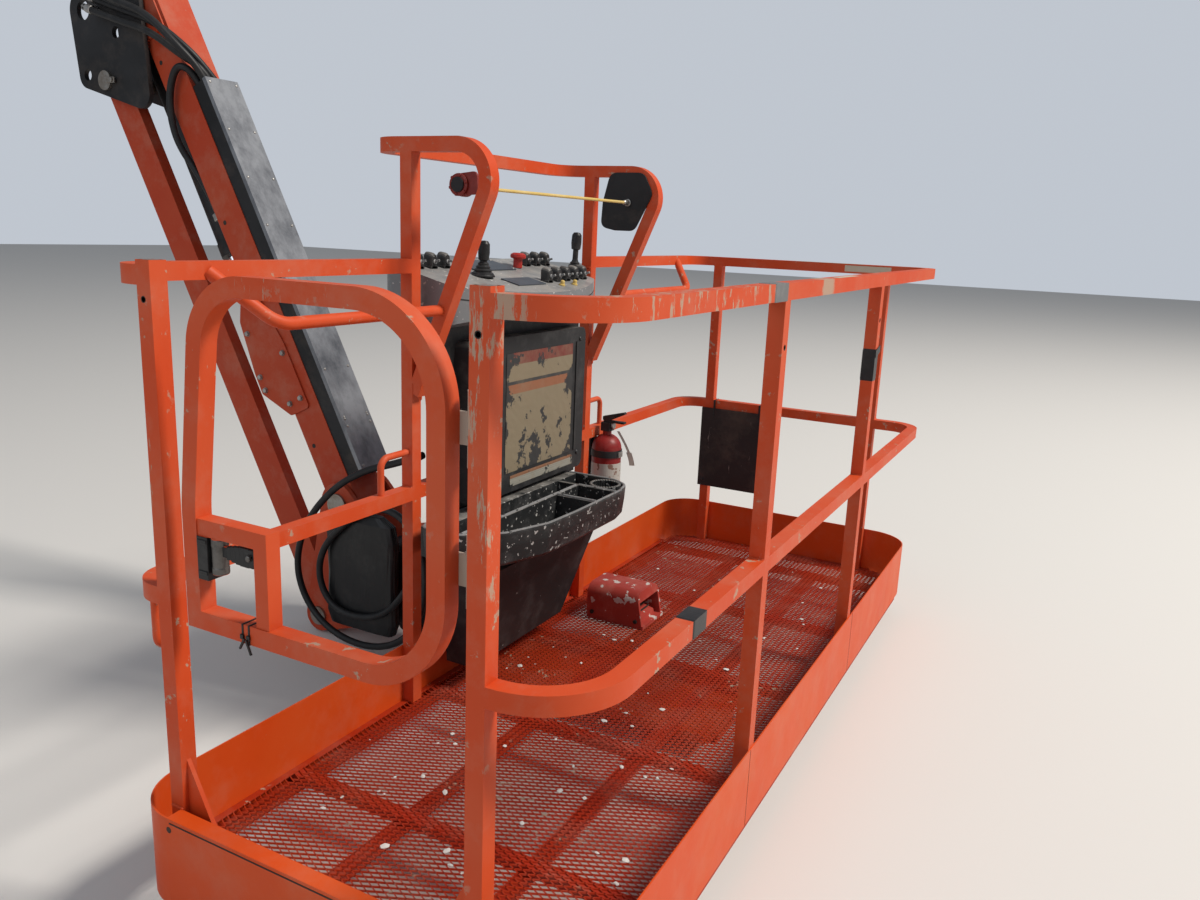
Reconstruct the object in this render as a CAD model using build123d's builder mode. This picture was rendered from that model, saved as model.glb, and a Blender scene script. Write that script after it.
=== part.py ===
from build123d import *
import math
import os

os.makedirs("parts", exist_ok=True)

# Arm geometry
# The origin is the centre of the boom pin bore in the pivot bracket. +X runs from the boom
# towards the work platform, +Y along the platform's long side away from the gate, +Z up.
DROOP = math.radians(62.3)
ALONG = (math.cos(DROOP), -math.sin(DROOP))
ACROSS = (math.sin(DROOP), math.cos(DROOP))
ARM_LENGTH = 1850.0
ARM_TOP = (180.4, 165.9)
LINK_TOP = (91.7, -215.9)
RAM_TOP = (154.0, -74.0)
EYE_ALONG, EYE_ACROSS = 1230.0, -142.0


def on_arm(along, across, start=ARM_TOP):
    """Place in XZ of a point given along and across the arm."""
    x = start[0] + along * ALONG[0] + across * ACROSS[0]
    z = start[1] + along * ALONG[1] + across * ACROSS[1]
    return (x, z)


ARM_END = on_arm(ARM_LENGTH, 0)
LINK_END = on_arm(ARM_LENGTH, 0, LINK_TOP)
RAM_EYE = on_arm(EYE_ALONG, EYE_ACROSS)

# Platform sizes
# The rotator stands off the arm's lower pin and carries the platform. Platform places are
# given from its near rear corner at deck level and moved by PX, PY and PZ.
HEAD_REACH, TURN_HEIGHT = 269.7, 270.0
TURN_X = ARM_END[0] + HEAD_REACH
TURN_LOW = ARM_END[1] - 358.0
TURN_HIGH = TURN_LOW + TURN_HEIGHT
WIDTH, LENGTH, HEIGHT = 914.0, 2438.0, 1100.0
TUBE = 32.0
MID_TOP = 562.0
TOE_TOP, TOE_LOW, SHEET = 148.0, -30.0, 3.0
TOE_LEAD = 30.0
PX, PY, PZ = TURN_X + 290.0, -(LENGTH - TOE_LEAD) / 2, TURN_LOW + 30.0
RAIL_BENDS = (72.0, 150.0, 100.0, 100.0)
TOE_BENDS = (113.0, 153.0, 133.0, 113.0)
REACH = 60.0
SILL_TO = -2.0


def arm_plane(start, y=0.0):
    """Plane whose X runs down the arm, whose Y runs across it and whose normal is -Y."""
    return Plane(origin=(start[0], y, start[1]), x_dir=(ALONG[0], 0, ALONG[1]), z_dir=(0, -1, 0))


def bar(x, y, z, mode=Mode.ADD):
    """Box between its limits, in platform places."""
    middle = (PX + (x[0] + x[1]) / 2, PY + (y[0] + y[1]) / 2, PZ + (z[0] + z[1]) / 2)
    with Locations(middle):
        Box(x[1] - x[0], y[1] - y[0], z[1] - z[0], mode=mode)


def block(x, y, z, mode=Mode.ADD):
    """Box between its limits, from the origin."""
    with Locations(((x[0] + x[1]) / 2, (y[0] + y[1]) / 2, (z[0] + z[1]) / 2)):
        Box(x[1] - x[0], y[1] - y[0], z[1] - z[0], mode=mode)


def pin(place, y, radius, mode=Mode.ADD):
    """Round bar along Y at a place in XZ."""
    with Locations(Location((place[0], (y[0] + y[1]) / 2, place[1]), (90, 0, 0))):
        Cylinder(radius, y[1] - y[0], mode=mode)


def post(x, y, z, radius, mode=Mode.ADD):
    """Upright round bar, in platform places."""
    with Locations((PX + x, PY + y, PZ + (z[0] + z[1]) / 2)):
        Cylinder(radius, z[1] - z[0], mode=mode)


def outline(grow, corners, lead=0.0):
    """Rounded platform outline grown or shrunk from its outer faces, longer at the gate by lead."""
    low_x, low_y = PX - grow, PY - grow - lead
    high_x, high_y = PX + WIDTH + grow, PY + LENGTH + grow
    near_rear, near_front, far_front, far_rear = corners
    arc = math.sqrt(0.5)
    with BuildLine() as edge:
        r = near_rear
        Line((low_x, high_y - far_rear), (low_x, low_y + r))
        ThreePointArc((low_x, low_y + r), (low_x + r - r * arc, low_y + r - r * arc), (low_x + r, low_y))
        r = near_front
        Line((low_x + near_rear, low_y), (high_x - r, low_y))
        ThreePointArc((high_x - r, low_y), (high_x - r + r * arc, low_y + r - r * arc), (high_x, low_y + r))
        r = far_front
        Line((high_x, low_y + near_front), (high_x, high_y - r))
        ThreePointArc((high_x, high_y - r), (high_x - r + r * arc, high_y - r + r * arc), (high_x - r, high_y))
        r = far_rear
        Line((high_x - far_front, high_y), (low_x + r, high_y))
        ThreePointArc((low_x + r, high_y), (low_x + r - r * arc, high_y - r + r * arc), (low_x, high_y - r))
    make_face(edge.edges())


def inset(bends, amount):
    """Bend radii after the outline moves inwards."""
    return tuple(b - amount for b in bends)


def round_bar(points, radius, bend):
    """Round bar along platform places with rounded bends."""
    with BuildLine() as path:
        FilletPolyline(*[(PX + x, PY + y, PZ + z) for x, y, z in points], radius=bend)
    with BuildSketch(Plane(origin=path.line @ 0, z_dir=path.line % 0)) as section:
        Circle(radius)
    sweep(section.sketch, path=path.line)


def soft_bends(points):
    """Largest bend radius that each corner of a hose's route leaves room for."""
    bends = []
    for before, corner, after in zip(points, points[1:], points[2:]):
        run_in, run_out = Vector(corner) - Vector(before), Vector(after) - Vector(corner)
        turn = math.radians(run_in.get_angle(run_out))
        bends.append(0.45 * min(run_in.length, run_out.length) / math.tan(turn / 2))
    print("bend radii", [round(bend) for bend in bends])
    return bends


# Pivot bracket
# Two side plates carry the boom pin, the level rod pin, the arm, the link and the ram.
PLATE_Y = (76.0, 91.0)
BOOM_BORE, LEVEL_BORE, LEVEL_AT = 30.0, 18.0, (2.0, -196.0)
ARM_PIN, LINK_PIN, RAM_PIN = 25.0, 20.0, 18.0
TIE_AT = ((48.0, 158.0), (-6.0, -118.0))
LOWER_NOSE = (250.0, -258.0)
BRACKET_HOLES = [((0.0, 0.0), BOOM_BORE), (LEVEL_AT, LEVEL_BORE), (ARM_TOP, ARM_PIN), (LINK_TOP, LINK_PIN), (RAM_TOP, RAM_PIN)]
BRACKET_LOBES = [((0.0, 0.0), 66.0), (ARM_TOP, 78.0), (LINK_TOP, 42.0), (LOWER_NOSE, 46.0), (LEVEL_AT, 42.0)]

with BuildPart() as pivot_bracket:
    with BuildSketch(Plane.XZ) as bracket_side:
        for place, radius in BRACKET_LOBES:
            with Locations(place):
                Circle(radius)
        make_hull()
    extrude(amount=PLATE_Y[1], both=True)
    block((-120, 400), (-PLATE_Y[0], PLATE_Y[0]), (-400, 300), mode=Mode.SUBTRACT)
    for place in TIE_AT:
        pin(place, (-PLATE_Y[0], PLATE_Y[0]), 20.0)
    with BuildSketch(Plane.XZ.offset(6)) as ram_lug:
        for place, radius in ((RAM_TOP, 26.0), (TIE_AT[1], 26.0)):
            with Locations(place):
                Circle(radius)
        make_hull()
    extrude(amount=7)
    for place, radius in BRACKET_HOLES:
        pin(place, (-120, 120), radius, mode=Mode.SUBTRACT)
pivot_bracket.part.label = "pivot_bracket"

with BuildPart() as pivot_pins:
    for place, radius in ((ARM_TOP, ARM_PIN), (LINK_TOP, LINK_PIN)):
        pin(place, (-97, 97), radius)
        for side in (-1, 1):
            pin(place, tuple(sorted((side * 91.0, side * 99.0))), radius + 10)
    pin(RAM_TOP, (-14, 97), RAM_PIN)
    pin(RAM_TOP, (91, 99), RAM_PIN + 10)
pivot_pins.part.label = "pivot_pins"

# Arm
# A box tube with pierced ends, a cheek each side at its top, ram lugs and a gusset plate each side.
ARM_DEEP, ARM_WIDE, PIN_FIT = 110.0, 125.0, 0.05
CHEEK, GUSSET = 7.5, 6.0
COVER_ALONG, COVER_HIGH = (490.0, 1790.0), 120.0
GUSSET_OUTLINE = [(760, -ARM_DEEP / 2), (655, -124), (487, -147), (420, -148.5), (316, -66), (312, 18), (525, 18), (760, -20)]
GUSSET_SIDE = [(ARM_LENGTH - back, across) for back, across in GUSSET_OUTLINE]
LUG_SIDE = [(1130, -ARM_DEEP / 2), (1190, -172), (1270, -172), (1420, -ARM_DEEP / 2)]
LUG_Y = (-6.0, 2.0)
with BuildPart() as jib_arm:
    with BuildSketch(arm_plane(ARM_TOP)) as arm_side:
        with Locations((ARM_LENGTH / 2, 0)):
            Rectangle(ARM_LENGTH, ARM_DEEP)
        with Locations((0, 0), (ARM_LENGTH, 0)):
            Circle(ARM_DEEP / 2 + 5)
    extrude(amount=ARM_WIDE / 2, both=True)
    with BuildSketch(arm_plane(ARM_TOP)) as arm_cheek:
        with Locations((140, 0)):
            Rectangle(280, ARM_DEEP - 20)
        Circle(ARM_DEEP / 2 + 10)
    extrude(amount=ARM_WIDE / 2 + CHEEK, both=True)
    for y in (-ARM_WIDE / 2, ARM_WIDE / 2 + GUSSET):
        with BuildSketch(arm_plane(ARM_TOP, y)) as arm_gusset:
            Polygon(*GUSSET_SIDE, align=None)
            fillet(arm_gusset.vertices(), radius=12)
        extrude(amount=GUSSET)
    with BuildSketch(arm_plane(ARM_TOP, LUG_Y[1])) as arm_lug:
        Polygon(*LUG_SIDE, align=None)
    extrude(amount=LUG_Y[1] - LUG_Y[0])
    pin(ARM_TOP, (-80, 80), ARM_PIN + PIN_FIT, mode=Mode.SUBTRACT)
    pin(ARM_END, (-80, 80), ARM_PIN + PIN_FIT, mode=Mode.SUBTRACT)
jib_arm.part.label = "jib_arm"

# Hose cover
# A black channel on top of the arm, closed by a zinc sheet with lips turned down over its sides.
CHANNEL, COVER_SHEET = 3.0, 2.5
cover_middle = sum(COVER_ALONG) / 2
cover_long = COVER_ALONG[1] - COVER_ALONG[0]
channel_top = COVER_HIGH - COVER_SHEET
with BuildPart() as hose_channel:
    with BuildSketch(arm_plane(ARM_TOP)) as channel_side:
        with Locations((cover_middle, (ARM_DEEP / 2 + channel_top) / 2)):
            Rectangle(cover_long, channel_top - ARM_DEEP / 2)
    extrude(amount=60, both=True)
    with BuildSketch(arm_plane(ARM_TOP)) as channel_hollow:
        with Locations((cover_middle, (ARM_DEEP / 2 + CHANNEL + COVER_HIGH) / 2)):
            Rectangle(cover_long + 10, COVER_HIGH - ARM_DEEP / 2 - CHANNEL)
    extrude(amount=60 - CHANNEL, both=True, mode=Mode.SUBTRACT)
hose_channel.part.label = "hose_channel"

with BuildPart() as hose_cover:
    with BuildSketch(arm_plane(ARM_TOP)) as cover_side:
        with Locations((cover_middle, COVER_HIGH - 7)):
            Rectangle(cover_long, 14)
    extrude(amount=60 + COVER_SHEET, both=True)
    with BuildSketch(arm_plane(ARM_TOP)) as cover_hollow:
        with Locations((cover_middle, COVER_HIGH - COVER_SHEET - 7)):
            Rectangle(cover_long + 10, 14)
    extrude(amount=60, both=True, mode=Mode.SUBTRACT)
hose_cover.part.label = "hose_cover"

# Hoses
# Three run from the boom over the bracket into the channel, one loops down beside the arm.
HOSE = 11.0
HOSE_ROUTES = [
    [
        (70, -118, 30), (225, -120, -18), (368, -114, -58), (446, -60, -132),
        (470.9, -18, -185.3), (490.4, 22, -241.7), (520.8, 38, -333.1), (562.5, 38, -412.8),
    ],
    [
        (70, -147, 54), (225, -149, 6), (368, -143, -38.8), (446, -112, -120),
        (482.5, -66, -179.2), (497.5, -37, -238), (520.8, -14, -333.1), (562.5, -14, -412.8),
    ],
    [
        (70, -131, -4), (225, -133, -52), (356, -127, -85.2), (434, -84, -149),
        (475.4, -42, -183), (490.4, -8, -241.7), (520.8, 12, -333.1), (562.5, 12, -412.8),
    ],
    [
        (539.3, -42, -368.5), (502.5, -43, -297.5), (465.5, -43, -226.5), (453.1, -70, -187.9),
        (419, -86, -181), (384, -86, -245), (377, -84, -328), (390.5, -70, -415),
        (445.8, -46, -498.9), (507.5, -36, -599.8), (609.8, -36, -794.6),
    ],
]
with BuildPart() as arm_hoses:
    for route in HOSE_ROUTES:
        with BuildLine() as hose_path:
            FilletPolyline(*route, radius=soft_bends(route))
        with BuildSketch(Plane(origin=hose_path.line @ 0, z_dir=hose_path.line % 0)) as hose_round:
            Circle(HOSE)
        sweep(hose_round.sketch, path=hose_path.line)
arm_hoses.part.label = "arm_hoses"

# Link
LINK_DEEP, LINK_Y = 100.0, (-57.0, -19.0)
with BuildPart() as jib_link:
    with BuildSketch(arm_plane(LINK_TOP, LINK_Y[1])) as link_side:
        with Locations((ARM_LENGTH / 2, 0)):
            Rectangle(ARM_LENGTH, LINK_DEEP)
        with Locations((0, 0), (ARM_LENGTH, 0)):
            Circle(LINK_DEEP / 2)
    extrude(amount=LINK_Y[1] - LINK_Y[0])
    pin(LINK_TOP, (-90, 0), LINK_PIN + PIN_FIT, mode=Mode.SUBTRACT)
    pin(LINK_END, (-90, 0), LINK_PIN + PIN_FIT, mode=Mode.SUBTRACT)
jib_link.part.label = "jib_link"

# Lift ram
RAM_Y, BARREL, ROD = 26.0, 33.0, 18.0
ram_angle = math.atan2(RAM_EYE[1] - RAM_TOP[1], RAM_EYE[0] - RAM_TOP[0])
RAM_LONG = math.dist(RAM_EYE, RAM_TOP)
ram_dir = (math.cos(ram_angle), 0, math.sin(ram_angle))
RAM_MOUTH = 760.0


def ram_plane(along):
    """Plane across the ram at a distance from its top pin."""
    middle = (RAM_TOP[0] + along * ram_dir[0], RAM_Y, RAM_TOP[1] + along * ram_dir[2])
    return Plane(origin=middle, x_dir=(0, 1, 0), z_dir=ram_dir)


with BuildPart() as ram_barrel:
    with BuildSketch(ram_plane(32)) as barrel_round:
        Circle(BARREL)
    extrude(amount=RAM_MOUTH - 32)
    with BuildSketch(ram_plane(RAM_MOUTH - 45)) as barrel_gland:
        Circle(BARREL + 3)
    extrude(amount=45)
    pin(RAM_TOP, (0, 54), 34)
    with BuildSketch(ram_plane(60)) as barrel_bore:
        Circle(ROD + PIN_FIT)
    extrude(amount=RAM_MOUTH, mode=Mode.SUBTRACT)
    pin(RAM_TOP, (-14, 80), RAM_PIN + PIN_FIT, mode=Mode.SUBTRACT)
ram_barrel.part.label = "ram_barrel"

with BuildPart() as ram_rod:
    with BuildSketch(ram_plane(120)) as rod_round:
        Circle(ROD)
    extrude(amount=RAM_LONG - 120)
    pin(RAM_EYE, (8, 50), 30)
ram_rod.part.label = "ram_rod"

# Head
# Side plates hold the arm's and the link's lower pins and the rotator.
HEAD_LOBES = [(ARM_END, 66.0), (LINK_END, 52.0), ((TURN_X - 88, TURN_HIGH - 60), 40.0), ((TURN_X - 88, TURN_LOW + 50), 40.0)]
with BuildPart() as jib_head:
    with BuildSketch(Plane.XZ) as head_side:
        for place, radius in HEAD_LOBES:
            with Locations(place):
                Circle(radius)
        make_hull()
    extrude(amount=PLATE_Y[1], both=True)
    with BuildSketch(Plane.XZ) as head_gap:
        for place, radius in HEAD_LOBES:
            with Locations(place):
                Circle(radius + 5)
        make_hull()
    extrude(amount=PLATE_Y[0], both=True, mode=Mode.SUBTRACT)
    for place, radius in ((ARM_END, ARM_PIN), (LINK_END, LINK_PIN)):
        pin(place, (-120, 120), radius, mode=Mode.SUBTRACT)
jib_head.part.label = "jib_head"

with BuildPart() as head_pins:
    for place, radius in ((ARM_END, ARM_PIN), (LINK_END, LINK_PIN)):
        pin(place, (-97, 97), radius)
        for side in (-1, 1):
            pin(place, tuple(sorted((side * 91.0, side * 99.0))), radius + 10)
head_pins.part.label = "head_pins"

# Rotator
TURN_SHAFT, TURN_BODY = 30.0, 75.0
with BuildPart() as rotator_body:
    with Locations((TURN_X, 0, (TURN_LOW + TURN_HIGH) / 2)):
        Cylinder(TURN_BODY, TURN_HEIGHT)
    for z in ((TURN_LOW, TURN_LOW + 22), (TURN_HIGH - 22, TURN_HIGH)):
        with Locations((TURN_X, 0, (z[0] + z[1]) / 2)):
            Cylinder(TURN_BODY + 8, z[1] - z[0])
    block((TURN_X - 138, TURN_X), (-PLATE_Y[0], PLATE_Y[0]), (TURN_LOW + 22, TURN_HIGH - 22))
    with Locations((TURN_X, 0, (TURN_LOW + TURN_HIGH) / 2)):
        Cylinder(TURN_SHAFT + PIN_FIT, TURN_HEIGHT + 10, mode=Mode.SUBTRACT)
rotator_body.part.label = "rotator_body"

BUNDLE_OUT = 195.0
with BuildPart() as valve_bundle:
    block((TURN_X - 232, TURN_X - 114), (-BUNDLE_OUT, -PLATE_Y[1]), (TURN_LOW + 25, TURN_HIGH + 112))
    block((TURN_X - 170, TURN_X + 30), (-BUNDLE_OUT, -147), (TURN_LOW + 25, TURN_HIGH + 112))
    fillet(valve_bundle.edges().filter_by(Axis.Z), 14)
valve_bundle.part.label = "valve_bundle"

# Spare control cable
# Hung in two loose turns at the head, below the arm's lower pin.
CABLE = 10.0
CABLE_Y = -BUNDLE_OUT - CABLE - 0.3
CABLE_ROUTE = [
    (1460, CABLE_Y, -1232), (1372, CABLE_Y, -1268), (1254, CABLE_Y, -1305), (1128, CABLE_Y, -1381), (1018, CABLE_Y, -1504),
    (973, CABLE_Y, -1639), (1012, CABLE_Y, -1756), (1118, CABLE_Y, -1835), (1274, CABLE_Y, -1847), (1405, CABLE_Y, -1785),
    (1470, CABLE_Y, -1650), (1462, CABLE_Y, -1510), (1395, CABLE_Y, -1420), (1290, CABLE_Y, -1402), (1173, CABLE_Y, -1475),
    (1076, CABLE_Y, -1580), (1068, CABLE_Y, -1685), (1133, CABLE_Y, -1759), (1262, CABLE_Y, -1756), (1360, CABLE_Y, -1698),
    (1420, CABLE_Y, -1600),
]
with BuildPart() as cable_coil:
    with BuildLine() as cable_path:
        FilletPolyline(*CABLE_ROUTE, radius=soft_bends(CABLE_ROUTE))
    with BuildSketch(Plane(origin=cable_path.line @ 0, z_dir=cable_path.line % 0)) as cable_round:
        Circle(CABLE)
    sweep(cable_round.sketch, path=cable_path.line)
cable_coil.part.label = "cable_coil"

# Platform support
# A turning C frame round the rotator and a beam under the deck.
SUPPORT_Y, SUPPORT_X = 55.0, 125.0
with BuildPart() as platform_support:
    with Locations((TURN_X, 0, (TURN_LOW + TURN_HIGH) / 2)):
        Cylinder(TURN_SHAFT, TURN_HEIGHT + 40)
    for z in ((TURN_LOW - 45, TURN_LOW - 5), (TURN_HIGH + 5, TURN_HIGH + 35)):
        with Locations((TURN_X, 0, (z[0] + z[1]) / 2)):
            Cylinder(72, z[1] - z[0])
        block((TURN_X, TURN_X + SUPPORT_X), (-SUPPORT_Y, SUPPORT_Y), z)
    block((TURN_X + 100, TURN_X + SUPPORT_X), (-SUPPORT_Y, SUPPORT_Y), (TURN_LOW - 45, TURN_HIGH + 35))
    block((TURN_X + 60, PX + 700), (-SUPPORT_Y, SUPPORT_Y), (TURN_LOW - 75, TURN_LOW - 35))
    block((PX + 20, PX + 700), (-150, 150), (TURN_LOW - 35, PZ - 43))
platform_support.part.label = "platform_support"

# Deck
# A frame of bars carries the mesh, with a plain plate inside the gate.
BEAM, BEAM_DEEP, MESH = 30.0, 20.0, 3.0
BEAM_X = (0.0, 290.0, 594.0, WIDTH - BEAM)
BEAM_ENDS = (160.0, LENGTH - 148.0)
ENTRY = 145.0
CROSS_FIRST, CROSS_LAST, CROSS_COUNT = 371.0, LENGTH - 168.0, 5
with BuildPart() as deck_beams:
    for x in BEAM_X:
        bar((x, x + BEAM), BEAM_ENDS, (-MESH - 2 * BEAM_DEEP, -MESH - BEAM_DEEP))
deck_beams.part.label = "deck_beams"

with BuildPart() as deck_cross_beams:
    bar((90, WIDTH - 154), (0, BEAM), (-MESH - BEAM_DEEP, -MESH))
    for count in range(CROSS_COUNT):
        y = CROSS_FIRST + count * (CROSS_LAST - CROSS_FIRST) / (CROSS_COUNT - 1)
        bar((0, WIDTH), (y - BEAM / 2, y + BEAM / 2), (-MESH - BEAM_DEEP, -MESH))
deck_cross_beams.part.label = "deck_cross_beams"

with BuildPart() as deck_mesh:
    with BuildSketch(Plane.XY.offset(PZ)) as mesh_outline:
        outline(0, inset(TOE_BENDS, SHEET), TOE_LEAD)
    extrude(amount=-MESH)
    bar((-REACH, WIDTH + REACH), (-REACH, ENTRY), (-10, 10), mode=Mode.SUBTRACT)
deck_mesh.part.label = "deck_mesh"

with BuildPart() as entry_plate:
    with BuildSketch(Plane.XY.offset(PZ)) as plate_outline:
        outline(0, inset(TOE_BENDS, SHEET), TOE_LEAD)
    extrude(amount=-MESH)
    bar((-REACH, WIDTH + REACH), (ENTRY, LENGTH + REACH), (-10, 10), mode=Mode.SUBTRACT)
entry_plate.part.label = "entry_plate"

with BuildPart() as toe_board:
    with BuildSketch(Plane.XY.offset(PZ + TOE_LOW)) as toe_outer:
        outline(SHEET, TOE_BENDS, TOE_LEAD)
    extrude(amount=TOE_TOP - TOE_LOW)
    with BuildSketch(Plane.XY.offset(PZ + TOE_LOW)) as toe_inner:
        outline(0, inset(TOE_BENDS, SHEET), TOE_LEAD)
    extrude(amount=TOE_TOP - TOE_LOW, mode=Mode.SUBTRACT)
    bar((TOE_BENDS[0], WIDTH - TOE_BENDS[1]), (-TOE_LEAD, SILL_TO), (TOE_TOP - 6, TOE_TOP))
toe_board.part.label = "toe_board"

# Posts
# Each row holds the low X and low Y of one square post.
LATCH_X, HINGE_X = 86.0, 727.0
FRONT_Y, GUARD_LOW_Y, GUARD_HIGH_Y = (731.0, 1550.0), 742.0, 1590.0
FAR_Y = LENGTH - TUBE
RAIL_POSTS = [(WIDTH - TUBE, y) for y in FRONT_Y] + [(112.0, FAR_Y), (724.0, FAR_Y), (0.0, GUARD_LOW_Y), (0.0, GUARD_HIGH_Y)]
GATE_GAP = (LATCH_X, HINGE_X + TUBE)
FOOT_LONG, FOOT_HIGH = 124.0, 240.0
with BuildPart() as posts:
    for x, side in ((LATCH_X, 1), (HINGE_X, -1)):
        bar((x, x + TUBE), (0, TUBE), (0, HEIGHT + 8))
        foot = PX + (x + TUBE if side > 0 else x)
        with BuildSketch(Plane.XZ.offset(-(PY + 12))) as foot_gusset:
            Polygon((foot, PZ), (foot + side * FOOT_LONG, PZ), (foot, PZ + FOOT_HIGH), align=None)
        extrude(amount=-8)
    for x, y in RAIL_POSTS:
        bar((x, x + TUBE), (y, y + TUBE), (0, MID_TOP - TUBE))
        bar((x, x + TUBE), (y, y + TUBE), (MID_TOP, HEIGHT - TUBE))
posts.part.label = "posts"

# Rails
with BuildPart() as top_rail:
    with BuildSketch(Plane.XY.offset(PZ + HEIGHT - TUBE)) as top_outer:
        outline(0, RAIL_BENDS)
    extrude(amount=TUBE)
    with BuildSketch(Plane.XY.offset(PZ + HEIGHT - TUBE)) as top_inner:
        outline(-TUBE, inset(RAIL_BENDS, TUBE))
    extrude(amount=TUBE, mode=Mode.SUBTRACT)
    bar(GATE_GAP, (-REACH, REACH), (HEIGHT - REACH, HEIGHT + REACH), mode=Mode.SUBTRACT)
    bar((-REACH, REACH), (GUARD_LOW_Y + TUBE, GUARD_HIGH_Y), (HEIGHT - REACH, HEIGHT + REACH), mode=Mode.SUBTRACT)
top_rail.part.label = "top_rail"

with BuildPart() as mid_rail:
    with BuildSketch(Plane.XY.offset(PZ + MID_TOP - TUBE)) as mid_outer:
        outline(0, RAIL_BENDS)
    extrude(amount=TUBE)
    with BuildSketch(Plane.XY.offset(PZ + MID_TOP - TUBE)) as mid_inner:
        outline(-TUBE, inset(RAIL_BENDS, TUBE))
    extrude(amount=TUBE, mode=Mode.SUBTRACT)
    bar(GATE_GAP, (-REACH, REACH), (MID_TOP - REACH, MID_TOP + REACH), mode=Mode.SUBTRACT)
mid_rail.part.label = "mid_rail"

# Guard over the controls
# Each half is one bent square tube, from its leg over the controls and along the rear to the middle.
GUARD_TOP = 1350.0
GUARD_REAR, GUARD_BEND = -90.0, 76.0
GUARD_Y = (GUARD_LOW_Y + TUBE / 2, GUARD_HIGH_Y + TUBE / 2)
GUARD_MIDDLE = sum(GUARD_Y) / 2


def guard_half(y):
    """Leg, top and half of the rear bar as one bent tube, with its upright."""
    inwards = math.copysign(GUARD_BEND + 30, GUARD_MIDDLE - y)
    path_points = ((34, y, 790), (268, y, GUARD_TOP), (GUARD_REAR, y, GUARD_TOP), (GUARD_REAR, y + inwards, GUARD_TOP))
    with BuildLine() as path:
        FilletPolyline(*[(PX + x, PY + py, PZ + z) for x, py, z in path_points], radius=GUARD_BEND)
    with BuildSketch(Plane(origin=path.line @ 0, x_dir=(0, 1, 0), z_dir=path.line % 0)) as section:
        Rectangle(TUBE, TUBE)
    sweep(section.sketch, path=path.line)
    bar((0, TUBE), (y - TUBE / 2, y + TUBE / 2), (HEIGHT, GUARD_TOP - TUBE / 2 + 1))
    bar((-REACH, TUBE), (y - TUBE, y + TUBE), (700, HEIGHT), mode=Mode.SUBTRACT)


with BuildPart() as guard_near:
    guard_half(GUARD_Y[0])
guard_near.part.label = "guard_near"

with BuildPart() as guard_far:
    guard_half(GUARD_Y[1])
guard_far.part.label = "guard_far"

with BuildPart() as guard_bar:
    bar((GUARD_REAR - TUBE / 2, GUARD_REAR + TUBE / 2), (GUARD_Y[0] + GUARD_BEND + 30, GUARD_Y[1] - GUARD_BEND - 30), (GUARD_TOP - TUBE / 2, GUARD_TOP + TUBE / 2))
guard_bar.part.label = "guard_bar"

# Trip wire across the guard
# A small switch box on the near loop and a plate in the far loop's bend hold its ends.
WIRE_AT = (150.0, 1262.0)
PLATE_SIDE = [(86, GUARD_TOP - 2), (60, 1254), (60, 1180), (176, 1180), (232, 1290), (200, GUARD_TOP - 2)]
with BuildPart() as wire_plate:
    bar((110, 192), (GUARD_Y[0] + TUBE / 2, GUARD_Y[0] + 22), (1236, GUARD_TOP))
    bar((128, 176), (GUARD_Y[0] + 22, GUARD_Y[0] + 45), (1240, 1290))
    with BuildSketch(Plane.XZ.offset(-(PY + GUARD_Y[1] - TUBE / 2 - 5))) as plate_side:
        Polygon(*[(PX + x, PZ + z) for x, z in PLATE_SIDE], align=None)
        fillet(plate_side.vertices(), radius=14)
    extrude(amount=-5)
wire_plate.part.label = "wire_plate"

with BuildPart() as trip_wire:
    wire_ends = (GUARD_Y[0] + 45, GUARD_Y[1] - TUBE / 2 - 5)
    with Locations(Location((PX + WIRE_AT[0], PY + sum(wire_ends) / 2, PZ + WIRE_AT[1]), (90, 0, 0))):
        Cylinder(4, wire_ends[1] - wire_ends[0])
trip_wire.part.label = "trip_wire"

# Round handrails
HANDRAIL, HAND_X, HAND_Z = 12.5, 112.0, 990.0
with BuildPart() as handrails:
    for start, middle, end in ((185, 275, GUARD_LOW_Y), (LENGTH - 193, LENGTH - 283, GUARD_HIGH_Y + TUBE)):
        step = 1 if middle > start else -1
        points = ((28, start, HEIGHT - 18), (HAND_X, middle - step * 10, HAND_Z), (HAND_X, end, HAND_Z))
        round_bar(points, HANDRAIL, 55)
    bar((-REACH, TUBE), (0, LENGTH), (HEIGHT - 100, HEIGHT + 20), mode=Mode.SUBTRACT)
handrails.part.label = "handrails"

# Controls
# The console has a rounded front and a sloping top, and hangs on a rear panel between the posts.
CONSOLE_Y = (800.0, 1490.0)
CONSOLE_Z, CONSOLE_REAR, CONSOLE_BULGE = (940.0, 1090.0), -105.0, 186.0
CONSOLE_FRONT, TOP_FALL = 100.0, 0.235
PANEL_X = (32.0, 58.0)


def console_top(x):
    """Height of the sloping top at a place in X."""
    return CONSOLE_Z[1] - TOP_FALL * (x - CONSOLE_REAR)


def seat_on_top():
    """Cuts the foot of a control to the slope of the console's top."""
    ends = (CONSOLE_REAR, CONSOLE_BULGE)
    slope = [(ends[0], console_top(ends[0])), (ends[1], console_top(ends[1])), (ends[1], CONSOLE_Z[0]), (ends[0], CONSOLE_Z[0])]
    with BuildSketch(Plane.XZ.offset(-(PY + CONSOLE_Y[0]))) as top_cut:
        Polygon(*[(PX + x, PZ + z) for x, z in slope], align=None)
    extrude(top_cut.sketch, amount=-(CONSOLE_Y[1] - CONSOLE_Y[0]), mode=Mode.SUBTRACT)


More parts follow.
